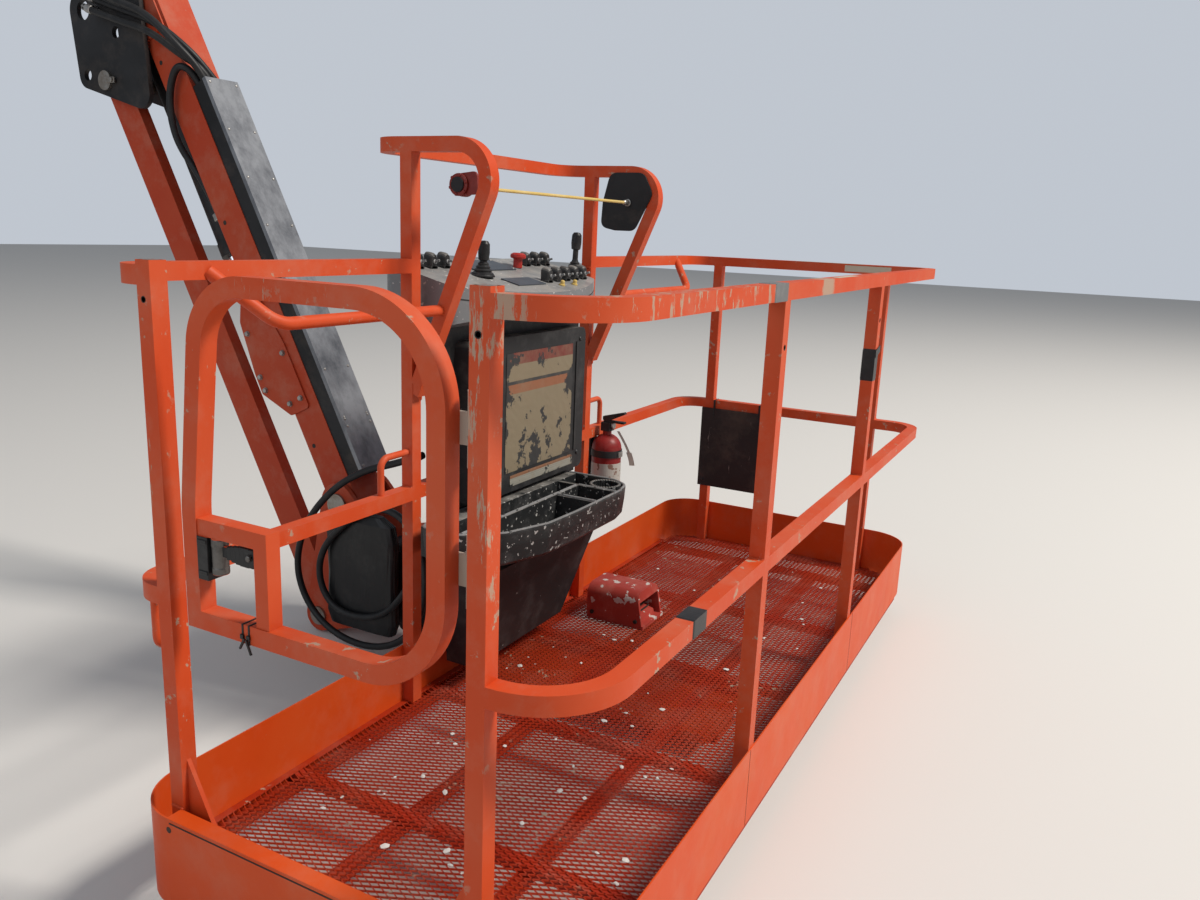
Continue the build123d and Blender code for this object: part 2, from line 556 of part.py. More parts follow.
with BuildPart() as console_box:
    with BuildSketch(Plane.XY.offset(PZ + CONSOLE_Z[0])) as console_plan:
        low, high = PY + CONSOLE_Y[0], PY + CONSOLE_Y[1]
        with BuildLine() as console_edge:
            Line((PX + CONSOLE_REAR, high), (PX + CONSOLE_REAR, low))
            Line((PX + CONSOLE_REAR, low), (PX + CONSOLE_FRONT, low))
            ThreePointArc((PX + CONSOLE_FRONT, low), (PX + CONSOLE_BULGE, (low + high) / 2), (PX + CONSOLE_FRONT, high))
            Line((PX + CONSOLE_FRONT, high), (PX + CONSOLE_REAR, high))
        make_face(console_edge.edges())
        fillet(console_plan.vertices(), radius=30)
    extrude(amount=CONSOLE_Z[1] - CONSOLE_Z[0])
    wedge_top = [(x, z) for x, z in ((CONSOLE_REAR, CONSOLE_Z[1]), (CONSOLE_BULGE + REACH, console_top(CONSOLE_BULGE + REACH)),
                                     (CONSOLE_BULGE + REACH, CONSOLE_Z[1] + REACH), (CONSOLE_REAR, CONSOLE_Z[1] + REACH))]
    wedge_low = [(60, CONSOLE_Z[0] - 1), (CONSOLE_BULGE + REACH, CONSOLE_Z[0] - 1), (CONSOLE_BULGE + REACH, CONSOLE_Z[0] + 75), (CONSOLE_BULGE, CONSOLE_Z[0] + 40)]
    for wedge in (wedge_top, wedge_low):
        with BuildSketch(Plane.XZ.offset(-(PY + CONSOLE_Y[0] - REACH))) as console_cut:
            Polygon(*[(PX + x, PZ + z) for x, z in wedge], align=None)
        extrude(amount=-(CONSOLE_Y[1] - CONSOLE_Y[0] + 2 * REACH), mode=Mode.SUBTRACT)
console_box.part.label = "console_box"

# Small controls
# Each row of the switch table holds X, Y, width and height of one domed switch guard.
SWITCHES = [(104.0 - 3 * n, 1215.0 + 52 * n, 24.0, 38.0) for n in range(5)]
SWITCHES += [(-40.0, 1330.0 + 52 * n, 24.0, 38.0) for n in range(3)]
SWITCHES += [(-40.0, 850.0 + 52 * n, 24.0, 38.0) for n in range(3)]
with BuildPart() as switch_guards:
    for x, y, wide, high in SWITCHES:
        seat = console_top(x)
        bar((x - 13, x + 13), (y - wide / 2, y + wide / 2), (seat - 8, seat + high - wide / 2))
        with Locations(Location((PX + x, PY + y, PZ + seat + high - wide / 2), (0, 90, 0))):
            Cylinder(wide / 2, 26)
    seat_on_top()
switch_guards.part.label = "switch_guards"

# Each row of the stick table holds X, Y and height of one joystick above the console's top.
# The stop button stands beside them.
STICKS = [(40.0, 1010.0, 88.0), (50.0, 1456.0, 118.0)]
STOP_AT = (-20.0, 1262.0)
with BuildPart() as joysticks:
    for x, y, high in STICKS:
        seat = console_top(x)
        with Locations((PX + x, PY + y, PZ + seat + 10)):
            Cone(32, 12, 52)
        post(x, y, (seat + 30, seat + high), 8)
        post(x, y, (seat + high - 48, seat + high), 15)
    post(STOP_AT[0], STOP_AT[1], (console_top(STOP_AT[0]) - 8, console_top(STOP_AT[0]) + 26), 13)
    post(STOP_AT[0], STOP_AT[1], (console_top(STOP_AT[0]) + 26, console_top(STOP_AT[0]) + 40), 22)
    seat_on_top()
joysticks.part.label = "joysticks"

with BuildPart() as console_pedestal:
    bar(PANEL_X, (CONSOLE_Y[0] + 10, CONSOLE_Y[1] - 10), (460, CONSOLE_Z[0]))
console_pedestal.part.label = "console_pedestal"

with BuildPart() as document_box:
    bar((PANEL_X[1], 100), (872, 1450), (490, 905))
    fillet(document_box.edges().filter_by(Axis.X), 24)
document_box.part.label = "document_box"

# Tool tray
# A moulded tray with a long pocket, a small deep one, a slot behind and a cup ring at its far end.
TRAY_Y, TRAY_Z, TRAY_X, TRAY_NOSE = (716.0, 1408.0), (390.0, 478.0), 150.0, 312.0
TRAY_WALL, CUP_AT, CUP = 11.0, (238.0, 1346.0), 43.0
with BuildPart() as tool_tray:
    with BuildSketch(Plane.XY.offset(PZ + TRAY_Z[0])) as tray_plan:
        low, high = PY + TRAY_Y[0], PY + TRAY_Y[1]
        with BuildLine() as tray_edge:
            Line((PX + PANEL_X[1], high), (PX + PANEL_X[1], low))
            Line((PX + PANEL_X[1], low), (PX + TRAY_X, low))
            ThreePointArc((PX + TRAY_X, low), (PX + TRAY_NOSE - 36, low + 78), (PX + TRAY_NOSE, low + 230))
            Line((PX + TRAY_NOSE, low + 230), (PX + TRAY_NOSE, high - 130))
            ThreePointArc((PX + TRAY_NOSE, high - 130), (PX + TRAY_NOSE - 28, high - 36), (PX + TRAY_X + 60, high))
            Line((PX + TRAY_X + 60, high), (PX + PANEL_X[1], high))
        make_face(tray_edge.edges())
    extrude(amount=TRAY_Z[1] - TRAY_Z[0])
    pockets = (((184, TRAY_NOSE - 14), (TRAY_Y[0] + 180, 1170)), ((184, TRAY_NOSE - 14), (1182, 1288)), ((116, 170), (TRAY_Y[0] + 40, 1288)))
    for pocket_x, pocket_y in pockets:
        bar(pocket_x, pocket_y, (TRAY_Z[0] + TRAY_WALL, TRAY_Z[1] + 5), mode=Mode.SUBTRACT)
    post(CUP_AT[0], CUP_AT[1], (TRAY_Z[0] + TRAY_WALL, TRAY_Z[1] + 5), CUP, mode=Mode.SUBTRACT)
tool_tray.part.label = "tool_tray"

with BuildPart() as lower_housing:
    for z, x, y in ((340, 190, (850, 1400)), (60, 115, (880, 1330))):
        with BuildSketch(Plane.XY.offset(PZ + z)):
            with Locations((PX + (TUBE + x) / 2, PY + sum(y) / 2)):
                Rectangle(x - TUBE, y[1] - y[0])
    loft()
    bar((TUBE, PANEL_X[1]), (850, 1400), (340, 460))
lower_housing.part.label = "lower_housing"

# Foot switch
# A cast hood open at the front, over its pedal.
HOOD_X, HOOD_Y, HOOD_HIGH, HOOD_WALL = (131.0, 326.0), (1466.0, 1613.0), 110.0, 10.0
with BuildPart() as foot_switch:
    bar(HOOD_X, HOOD_Y, (0, HOOD_HIGH))
    fillet(foot_switch.edges().filter_by(Axis.X).group_by(Axis.Z)[-1], 34)
    inside = (HOOD_Y[0] + HOOD_WALL, HOOD_Y[1] - HOOD_WALL)
    bar((HOOD_X[0] + 40, HOOD_X[1] + 50), inside, (HOOD_WALL, HOOD_HIGH - 30), mode=Mode.SUBTRACT)
    wedge = ((HOOD_X[1] + 5, HOOD_WALL), (HOOD_X[1] + 5, HOOD_HIGH + 5), (HOOD_X[1] - 25, HOOD_HIGH + 5), (HOOD_X[1] - 5, HOOD_WALL))
    with BuildSketch(Plane.XZ.offset(-(PY + HOOD_Y[0] - 10))) as hood_slant:
        Polygon(*[(PX + x, PZ + z) for x, z in wedge], align=None)
    extrude(amount=-(HOOD_Y[1] - HOOD_Y[0] + 20), mode=Mode.SUBTRACT)
    with BuildSketch(Plane.XZ.offset(-(PY + inside[0] + 12))) as pedal_side:
        pedal_points = ((HOOD_X[0] + 60, HOOD_WALL), (HOOD_X[1] - 20, HOOD_WALL), (HOOD_X[1] - 24, HOOD_WALL + 14), (HOOD_X[0] + 60, HOOD_WALL + 42))
        Polygon(*[(PX + x, PZ + z) for x, z in pedal_points], align=None)
    extrude(amount=-(inside[1] - inside[0] - 24))
foot_switch.part.label = "foot_switch"

# Fire extinguisher
EXT_AT, EXT_ROUND, EXT_Z = (66.0, 1680.0), 48.0, (300.0, 528.0)
with BuildPart() as extinguisher:
    with BuildSketch(Plane.XZ.offset(-(PY + EXT_AT[1]))) as bottle_side:
        with BuildLine() as bottle_edge:
            x0 = PX + EXT_AT[0]
            Polyline((x0, PZ + EXT_Z[0]), (x0 + EXT_ROUND, PZ + EXT_Z[0]), (x0 + EXT_ROUND, PZ + EXT_Z[1] - 30))
            ThreePointArc((x0 + EXT_ROUND, PZ + EXT_Z[1] - 30), (x0 + 38, PZ + EXT_Z[1] - 4), (x0 + 14, PZ + EXT_Z[1] + 12))
            Polyline((x0 + 14, PZ + EXT_Z[1] + 12), (x0 + 14, PZ + EXT_Z[1] + 24), (x0, PZ + EXT_Z[1] + 24), (x0, PZ + EXT_Z[0]))
        make_face(bottle_edge.edges())
    revolve(axis=Axis((PX + EXT_AT[0], PY + EXT_AT[1], PZ), (0, 0, 1)))
extinguisher.part.label = "extinguisher"

with BuildPart() as extinguisher_bracket:
    x, y = EXT_AT
    bar((x - 16, x + 16), (y - 16, y + 16), (EXT_Z[1] + 24, EXT_Z[1] + 52))
    bar((x - 10, x + 62), (y - 9, y + 9), (EXT_Z[1] + 52, EXT_Z[1] + 58))
    with BuildSketch(Plane.XZ.offset(-(PY + y - 8))) as lever_side:
        lever_points = ((x - 14, EXT_Z[1] + 58), (x + 10, EXT_Z[1] + 58), (x + 64, EXT_Z[1] + 84), (x + 60, EXT_Z[1] + 90), (x - 14, EXT_Z[1] + 70))
        Polygon(*[(PX + a, PZ + b) for a, b in lever_points], align=None)
    extrude(amount=-16)
    bar((10, EXT_AT[0] - EXT_ROUND), (EXT_AT[1] - 20, EXT_AT[1] + 20), (EXT_Z[0], MID_TOP - TUBE))
    for z in (EXT_Z[0] + 60, EXT_Z[0] + 170):
        post(EXT_AT[0], EXT_AT[1], (z, z + 22), EXT_ROUND + 2.5)
    post(EXT_AT[0], EXT_AT[1], (EXT_Z[0] - 5, EXT_Z[1]), EXT_ROUND, mode=Mode.SUBTRACT)
extinguisher_bracket.part.label = "extinguisher_bracket"

with BuildPart() as far_panel:
    bar((104, 370), (FAR_Y - 8, FAR_Y), (222, MID_TOP - TUBE))
far_panel.part.label = "far_panel"

# Lanyard eyes
# Each row is the path of one bent round bar.
EYE_ROUND = 8.0
EYES = [
    [(16, 648, MID_TOP), (16, 648, 648), (16, GUARD_LOW_Y, 648)],
    [(16, GUARD_HIGH_Y + TUBE, 648), (16, GUARD_HIGH_Y + TUBE + 94, 648), (16, GUARD_HIGH_Y + TUBE + 94, MID_TOP)],
    [(16, 82, MID_TOP - TUBE), (16, 82, 428), (40, 28, 428), (40, 28, MID_TOP - TUBE)],
]
with BuildPart() as lanyard_eyes:
    for points in EYES:
        round_bar(points, EYE_ROUND, 24)
lanyard_eyes.part.label = "lanyard_eyes"

# Gate
# One bent square tube, square only at its lower latch corner. Each row of the outline holds a
# corner's X, its height and its outer bend radius.
GATE_RIGHT, GATE_Z = HINGE_X - 37.0, (510.0, HEIGHT - 6.0)
GATE_CORNERS = [(160.0, GATE_Z[0], 0.0), (160.0, 722.0, 260.0), (205.0, GATE_Z[1], 120.0), (GATE_RIGHT, GATE_Z[1], 160.0), (GATE_RIGHT, GATE_Z[0], 150.0)]
LATCH_TUBE, LATCH_UP = 28.0, (318.0, 702.0)
HINGE_AT = (HINGE_X - 14.5, 34.0)
HINGE_Z = ((656.0, 764.0), (HEIGHT - 240.0, HEIGHT - 134.0))


def gate_face():
    """Outer face of the gate with its rounded corners."""
    corners = [(PX + x, PZ + z) for x, z, bend in GATE_CORNERS]
    Polygon(*corners, align=None)
    for x, z, bend in GATE_CORNERS:
        if bend > 0:
            corner = (PX + x, PZ + z, 0)
            fillet(gate_sketch.vertices().sort_by_distance(corner)[0], radius=bend)


with BuildPart() as gate_frame:
    with BuildSketch(Plane.XZ.offset(-PY)) as gate_sketch:
        gate_face()
        offset(amount=-TUBE, kind=Kind.INTERSECTION, mode=Mode.SUBTRACT)
    extrude(amount=-TUBE)
gate_frame.part.label = "gate_frame"

with BuildPart() as gate_latch:
    bar((192, LATCH_UP[0] + LATCH_TUBE), (2, 2 + LATCH_TUBE), (LATCH_UP[1] - LATCH_TUBE, LATCH_UP[1]))
    bar((LATCH_UP[0], LATCH_UP[0] + LATCH_TUBE), (2, 2 + LATCH_TUBE), (GATE_Z[0] + TUBE, LATCH_UP[1] - LATCH_TUBE))
    bar((194, 216), (0, 30), (608, LATCH_UP[1] - LATCH_TUBE))
    post(229, 14, (612, LATCH_UP[1] - LATCH_TUBE), 13)
    bar((240, LATCH_UP[0]), (10, 16), (646, 662))
gate_latch.part.label = "gate_latch"

with BuildPart() as gate_knuckles:
    for low, high in HINGE_Z:
        post(HINGE_AT[0], HINGE_AT[1], (low + 30, high - 30), 9)
        bar((GATE_RIGHT - 24, HINGE_AT[0] - 5), (TUBE, TUBE + 6), (low + 30, high - 30))
        post(HINGE_AT[0], HINGE_AT[1], (low, high), 5.05, mode=Mode.SUBTRACT)
gate_knuckles.part.label = "gate_knuckles"

with BuildPart() as hinge_pins:
    for low, high in HINGE_Z:
        post(HINGE_AT[0], HINGE_AT[1], (low, high), 5)
        for z in ((low, low + 29), (high - 29, high)):
            post(HINGE_AT[0], HINGE_AT[1], z, 9)
            bar((HINGE_AT[0] + 2.5, HINGE_X), (25, TUBE), z)
hinge_pins.part.label = "hinge_pins"

PARTS = [
    pivot_bracket, pivot_pins, jib_arm, hose_channel, hose_cover, arm_hoses, jib_link, ram_barrel, ram_rod,
    jib_head, head_pins, rotator_body, valve_bundle, cable_coil, platform_support,
    deck_beams, deck_cross_beams, deck_mesh, entry_plate, toe_board, top_rail, mid_rail, posts,
    guard_near, guard_far, guard_bar, wire_plate, trip_wire, handrails,
    console_box, switch_guards, joysticks, console_pedestal, document_box, tool_tray, lower_housing,
    foot_switch, extinguisher, extinguisher_bracket, far_panel, lanyard_eyes,
    gate_frame, gate_latch, gate_knuckles, hinge_pins,
]
for item in PARTS:
    export_step(item.part, "parts/" + item.part.label + ".step")
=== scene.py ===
import math
import random

import bmesh
import bpy
from mathutils import Matrix, Vector


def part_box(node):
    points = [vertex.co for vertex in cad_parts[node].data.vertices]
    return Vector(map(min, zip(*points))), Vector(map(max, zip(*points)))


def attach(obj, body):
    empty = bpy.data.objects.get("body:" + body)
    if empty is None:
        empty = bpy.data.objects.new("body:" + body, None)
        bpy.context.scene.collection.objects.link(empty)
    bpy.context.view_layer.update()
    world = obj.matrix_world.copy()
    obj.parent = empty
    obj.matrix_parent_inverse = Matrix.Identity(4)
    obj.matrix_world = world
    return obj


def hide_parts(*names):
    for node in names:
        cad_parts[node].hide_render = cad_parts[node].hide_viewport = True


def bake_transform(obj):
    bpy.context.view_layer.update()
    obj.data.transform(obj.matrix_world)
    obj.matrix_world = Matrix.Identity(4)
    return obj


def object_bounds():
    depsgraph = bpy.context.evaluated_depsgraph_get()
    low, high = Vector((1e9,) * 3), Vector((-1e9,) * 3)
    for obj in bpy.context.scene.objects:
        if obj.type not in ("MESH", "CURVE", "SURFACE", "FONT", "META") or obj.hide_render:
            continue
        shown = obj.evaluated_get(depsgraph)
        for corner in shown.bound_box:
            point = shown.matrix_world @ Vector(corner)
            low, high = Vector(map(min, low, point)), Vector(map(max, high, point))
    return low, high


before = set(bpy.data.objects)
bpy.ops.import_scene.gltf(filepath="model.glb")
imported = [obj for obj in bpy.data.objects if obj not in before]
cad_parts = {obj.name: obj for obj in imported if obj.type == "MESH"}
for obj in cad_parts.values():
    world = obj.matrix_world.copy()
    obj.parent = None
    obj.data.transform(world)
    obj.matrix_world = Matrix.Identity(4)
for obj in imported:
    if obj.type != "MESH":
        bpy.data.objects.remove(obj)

CAD_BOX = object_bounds()

# Camera
# Stands outside the front long side near the gate end, tilted down and slightly rolled.
# Platform places are metres from the near rear corner at deck level, moved by at().
TOE_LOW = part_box("toe_board")[0]
ORIGIN = Vector((TOE_LOW[0] + 0.003, TOE_LOW[1] + 0.033, TOE_LOW[2] + 0.030))


def at(x, y, z):
    """A platform place in the part's frame."""
    return ORIGIN + Vector((x, y, z))


YAW, PITCH, ROLL = (math.radians(a) for a in (27.66, -13.02, 2.384))
PIXELS_LONG = 954.0
forward = Vector((-math.sin(YAW) * math.cos(PITCH), math.cos(YAW) * math.cos(PITCH), math.sin(PITCH)))
level_right = Vector((math.cos(YAW), math.sin(YAW), 0))
level_up = level_right.cross(forward)
right = level_right * math.cos(ROLL) + level_up * math.sin(ROLL)
up = -level_right * math.sin(ROLL) + level_up * math.cos(ROLL)
camera_data = bpy.data.cameras.new("camera")
camera_data.sensor_fit = "HORIZONTAL"
camera_data.sensor_width = 36.0
camera_data.lens = PIXELS_LONG / 1200 * 36.0
camera = bpy.data.objects.new("camera", camera_data)
turn = Matrix((right, up, -forward)).transposed().to_4x4()
camera.matrix_world = Matrix.Translation(at(1.4471, -1.0003, 1.1829)) @ turn
bpy.context.scene.collection.objects.link(camera)
bpy.context.scene.camera = camera
bpy.context.scene.view_settings.view_transform = "Standard"

# Spare control cable
# A black cable hung in two loose turns on the bag of valves at the jib's head.
# It rides on the head, and each end runs into a small screwed connector.
CABLE_Y, CABLE_THICK = -0.2053, 0.020
CABLE_XZ = [(1.460, -1.232), (1.372, -1.268), (1.254, -1.305), (1.128, -1.381), (1.018, -1.504), (0.973, -1.639), (1.012, -1.756),
            (1.118, -1.835), (1.274, -1.847), (1.405, -1.785), (1.470, -1.650), (1.462, -1.510), (1.395, -1.420), (1.290, -1.402),
            (1.173, -1.475), (1.076, -1.580), (1.068, -1.685), (1.133, -1.759), (1.262, -1.756), (1.360, -1.698), (1.420, -1.600)]


def new_material(name):
    """An empty node material, its tree, its shader and its coordinates."""
    material = bpy.data.materials.new(name)
    material.use_nodes = True
    tree = material.node_tree
    shader = tree.nodes["Principled BSDF"]
    where = tree.nodes.new("ShaderNodeTexCoord").outputs["Object"]
    return material, tree, shader, where


def noise(tree, where, scale, detail=4.0, rough=0.6, stretch=None):
    """Noise value over the place, stretched along an axis if asked."""
    if stretch:
        mapping = tree.nodes.new("ShaderNodeMapping")
        mapping.inputs["Scale"].default_value = stretch
        tree.links.new(where, mapping.inputs["Vector"])
        where = mapping.outputs["Vector"]
    node = tree.nodes.new("ShaderNodeTexNoise")
    node.inputs["Scale"].default_value = scale
    node.inputs["Detail"].default_value = detail
    node.inputs["Roughness"].default_value = rough
    tree.links.new(where, node.inputs["Vector"])
    return node.outputs["Fac"]


def ramp(tree, value, low, high):
    """Value between 0 below low and 1 above high."""
    node = tree.nodes.new("ShaderNodeMapRange")
    node.inputs["From Min"].default_value = low
    node.inputs["From Max"].default_value = high
    tree.links.new(value, node.inputs["Value"])
    return node.outputs["Result"]


def calc(tree, operation, first, second):
    """One math node on two values."""
    node = tree.nodes.new("ShaderNodeMath")
    node.operation = operation
    for socket, value in ((node.inputs[0], first), (node.inputs[1], second)):
        if isinstance(value, float):
            socket.default_value = value
        else:
            tree.links.new(value, socket)
    return node.outputs[0]


def mix(tree, factor, first, second):
    """Colour mixed from first to second by factor."""
    node = tree.nodes.new("ShaderNodeMix")
    node.data_type = "RGBA"
    tree.links.new(factor, node.inputs[0])
    for socket, colour in ((node.inputs[6], first), (node.inputs[7], second)):
        if isinstance(colour, tuple):
            socket.default_value = (*colour, 1)
        else:
            tree.links.new(colour, socket)
    return node.outputs[2]


def bump(tree, shader, value, strength, distance):
    """Relief on the shader from a value."""
    node = tree.nodes.new("ShaderNodeBump")
    node.inputs["Strength"].default_value = strength
    node.inputs["Distance"].default_value = distance
    tree.links.new(value, node.inputs["Height"])
    tree.links.new(node.outputs["Normal"], shader.inputs["Normal"])


def plastic(name, base, pale, rough=0.55, specks=0.70, speck_colour=(0.50, 0.48, 0.45), grain=220.0, speck_scale=60.0, top_paling=0.0):
    """Moulded plastic or rubber with a fine grain, pale scuffs and paint specks."""
    material, tree, shader, where = new_material(name)
    scuff = ramp(tree, noise(tree, where, 12.0, 6.0, 0.7), 0.50, 0.80)
    colour = mix(tree, calc(tree, "MULTIPLY", scuff, 0.7), base, pale)
    # Faces turned upwards are mixed in noise patches towards a warm pale grey by the given amount.
    if top_paling:
        split = tree.nodes.new("ShaderNodeSeparateXYZ")
        tree.links.new(tree.nodes.new("ShaderNodeNewGeometry").outputs["Normal"], split.inputs[0])
        upward_patches = calc(tree, "MULTIPLY", ramp(tree, split.outputs["Z"], 0.35, 0.95), ramp(tree, noise(tree, where, 16.0, 6.0, 0.7), 0.30, 0.75))
        colour = mix(tree, calc(tree, "MULTIPLY", upward_patches, top_paling), colour, (0.36, 0.34, 0.31))
    dots = ramp(tree, noise(tree, where, speck_scale, 3.0, 0.55), specks, specks + 0.02)
    colour = mix(tree, dots, colour, speck_colour)
    tree.links.new(colour, shader.inputs["Base Color"])
    shader.inputs["Roughness"].default_value = rough
    shader.inputs["Specular IOR Level"].default_value = 0.35
    bump(tree, shader, noise(tree, where, grain, 2.0), 0.2, 0.001)
    return material


def metal(name, base, dark, rough=0.35, metallic=0.9, scale=20.0, stretch=None):
    """Bare or plated steel with darker stains."""
    material, tree, shader, where = new_material(name)
    stain = ramp(tree, noise(tree, where, scale, 6.0, 0.7, stretch), 0.42, 0.72)
    tree.links.new(mix(tree, stain, base, dark), shader.inputs["Base Color"])
    shader.inputs["Metallic"].default_value = metallic
    shader.inputs["Roughness"].default_value = rough
    bump(tree, shader, noise(tree, where, 120.0, 3.0), 0.1, 0.001)
    return material


def finish_piece(name, bm, material, body, bevel=0.0):
    """A mesh object from bm with its material and its body."""
    bmesh.ops.recalc_face_normals(bm, faces=bm.faces)
    mesh = bpy.data.meshes.new(name)
    bm.to_mesh(mesh)
    bm.free()
    mesh.materials.append(material)
    piece = bpy.data.objects.new(name, mesh)
    bpy.context.scene.collection.objects.link(piece)
    if bevel:
        edge = piece.modifiers.new("edge", "BEVEL")
        edge.width = bevel
        edge.segments = 2
        edge.limit_method = "ANGLE"
        edge.angle_limit = math.radians(50)
    if body:
        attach(piece, body)
    return piece


def add_box(bm, low, high, turned=None):
    """A box between two corners, turned by a matrix about its own middle."""
    middle = (Vector(low) + Vector(high)) / 2
    size = Vector(high) - Vector(low)
    place = Matrix.Translation(middle)
    if turned:
        place = place @ turned
    bmesh.ops.create_cube(bm, size=1.0, matrix=place @ Matrix.Diagonal((*size, 1)))


def add_lathe(bm, profile, base, axis, sides=24):
    """A turned shape: rows of (distance along the axis, radius), closed at both ends."""
    axis = Vector(axis).normalized()
    side = axis.orthogonal().normalized()
    other = axis.cross(side)
    rings = []
    for along, radius in profile:
        middle = Vector(base) + axis * along
        ring = []
        for step in range(sides):
            angle = 2 * math.pi * step / sides
            ring.append(bm.verts.new(middle + (side * math.cos(angle) + other * math.sin(angle)) * max(radius, 0.00005)))
        rings.append(ring)
    for first, second in zip(rings, rings[1:]):
        for step in range(sides):
            bm.faces.new((first[step], first[(step + 1) % sides], second[(step + 1) % sides], second[step]))
    bm.faces.new(rings[0])
    bm.faces.new(list(reversed(rings[-1])))


def hose_line(name, points, radius):
    """A smooth round cable through control points, as one open spline."""
    curve = bpy.data.curves.new(name, "CURVE")
    curve.dimensions = "3D"
    curve.bevel_depth = radius
    curve.bevel_resolution = 4
    curve.resolution_u = 8
    spline = curve.splines.new("NURBS")
    spline.points.add(len(points) - 1)
    for point, place in zip(spline.points, points):
        point.co = (*place, 1)
    spline.order_u = 3
    spline.use_endpoint_u = True
    curve.use_fill_caps = True
    line = bpy.data.objects.new(name, curve)
    bpy.context.scene.collection.objects.link(line)
    return line


RUBBER = plastic("cable_rubber", (0.010, 0.010, 0.011), (0.045, 0.042, 0.04), rough=0.48, specks=0.9)
cable_points = [Vector((x, CABLE_Y, z)) for x, z in CABLE_XZ]
cable = hose_line("control_cable", cable_points, CABLE_THICK / 2)
cable.data.materials.append(RUBBER)
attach(cable, "head")
for count, (end, before) in enumerate(((cable_points[0], cable_points[1]), (cable_points[-1], cable_points[-2]))):
    bm = bmesh.new()
    back = (before - end).normalized()
    add_lathe(bm, [(0.002, 0.0101), (0.004, 0.0104), (0.050, 0.0104), (0.052, 0.0101)], end, back)
    for ring in range(5):
        add_lathe(bm, [(0.008 + ring * 0.007, 0.0101), (0.009 + ring * 0.007, 0.0112), (0.012 + ring * 0.007, 0.0112), (0.013 + ring * 0.007, 0.0101)], end, back)
    finish_piece("cable_connector_%d" % count, bm, RUBBER, "head")
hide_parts("cable_coil")

# Floor and light
# A plain pale floor, a broad warm key from the front right above, a weak fill and a pale sky.
FLOOR = CAD_BOX[0][2] - 0.004
bm = bmesh.new()
bmesh.ops.create_grid(bm, x_segments=1, y_segments=1, size=30, matrix=Matrix.Translation((0, 0, FLOOR)))
floor_material, floor_tree, floor_shader, floor_where = new_material("floor")
floor_shader.inputs["Base Color"].default_value = (0.66, 0.64, 0.61, 1)
floor_shader.inputs["Roughness"].default_value = 0.9
finish_piece("floor", bm, floor_material, None)
world = bpy.data.worlds.new("sky")
bpy.context.scene.world = world
world.use_nodes = True
world.node_tree.nodes["Background"].inputs["Color"].default_value = (0.80, 0.86, 0.95, 1)
rays = world.node_tree.nodes.new("ShaderNodeLightPath")
seen = world.node_tree.nodes.new("ShaderNodeMapRange")
seen.inputs["To Min"].default_value = 0.36
seen.inputs["To Max"].default_value = 0.66
world.node_tree.links.new(rays.outputs["Is Camera Ray"], seen.inputs["Value"])
world.node_tree.links.new(seen.outputs["Result"], world.node_tree.nodes["Background"].inputs["Strength"])
middle = at(0.4, 1.1, 0.5)
for name, offset, size, power, colour in (("key", (9.9, 3.3, 12.1), 3.8, 2850, (1.0, 0.95, 0.88)), ("fill", (-1.5, -6.0, 3.0), 4.0, 70, (0.85, 0.92, 1.0))):
    data = bpy.data.lights.new(name, "AREA")
    data.size = size
    data.energy = power
    data.color = colour
    light = bpy.data.objects.new(name, data)
    light.location = middle + Vector(offset)
    light.rotation_euler = (-Vector(offset)).to_track_quat("-Z", "Y").to_euler()
    bpy.context.scene.collection.objects.link(light)

# Rails, posts and guards
# Orange paint, faded and dusty, worn through to grey metal on the hinge post and the front rail.
BARE = (0.42, 0.27, 0.19)


def worn_paint(name, base, faded, bare=BARE, wear=0.62, rough=0.40, dust=(0.46, 0.33, 0.24), dust_amount=0.30, worn_places=()):
    """Painted steel with faded patches, dust, chips and places rubbed down to the metal."""
    material, tree, shader, where = new_material(name)
    clouds = ramp(tree, noise(tree, where, 3.0), 0.40, 0.66)
    colour = mix(tree, clouds, base, faded)
    dusty = calc(tree, "MULTIPLY", ramp(tree, noise(tree, where, 9.0, 6.0, 0.7), 0.48, 0.80), dust_amount)
    colour = mix(tree, dusty, colour, dust)
    chips = ramp(tree, noise(tree, where, 38.0, 5.0, 0.65), wear, wear + 0.03)
    zones = ramp(tree, noise(tree, where, 5.0, 2.0, 0.5), 0.50, 0.58)
    worn = calc(tree, "MULTIPLY", chips, zones)
    streaks = noise(tree, where, 60.0, 7.0, 0.75, (1.0, 0.6, 0.16))
    for centre, reach, amount in worn_places:
        gap = tree.nodes.new("ShaderNodeVectorMath")
        gap.operation = "SUBTRACT"
        gap.inputs[1].default_value = centre
        tree.links.new(where, gap.inputs[0])
        scaled = tree.nodes.new("ShaderNodeVectorMath")
        scaled.operation = "DIVIDE"
        scaled.inputs[1].default_value = reach
        tree.links.new(gap.outputs["Vector"], scaled.inputs[0])
        size = tree.nodes.new("ShaderNodeVectorMath")
        size.operation = "LENGTH"
        tree.links.new(scaled.outputs["Vector"], size.inputs[0])
        inside = ramp(tree, size.outputs["Value"], 1.0, 0.55)
        patch = ramp(tree, calc(tree, "ADD", streaks, calc(tree, "MULTIPLY", inside, amount)), 0.70, 0.73)
        worn = calc(tree, "MAXIMUM", worn, calc(tree, "MULTIPLY", patch, inside))
    colour = mix(tree, worn, colour, bare)
    tree.links.new(colour, shader.inputs["Base Color"])
    gloss = tree.nodes.new("ShaderNodeMapRange")
    gloss.inputs["To Min"].default_value = rough
    gloss.inputs["To Max"].default_value = rough + 0.25
    tree.links.new(noise(tree, where, 14.0, 4.0), gloss.inputs["Value"])
    tree.links.new(gloss.outputs["Result"], shader.inputs["Roughness"])
    shader.inputs["Specular IOR Level"].default_value = 0.28
    bump(tree, shader, noise(tree, where, 160.0, 3.0), 0.10, 0.0012)
    return material


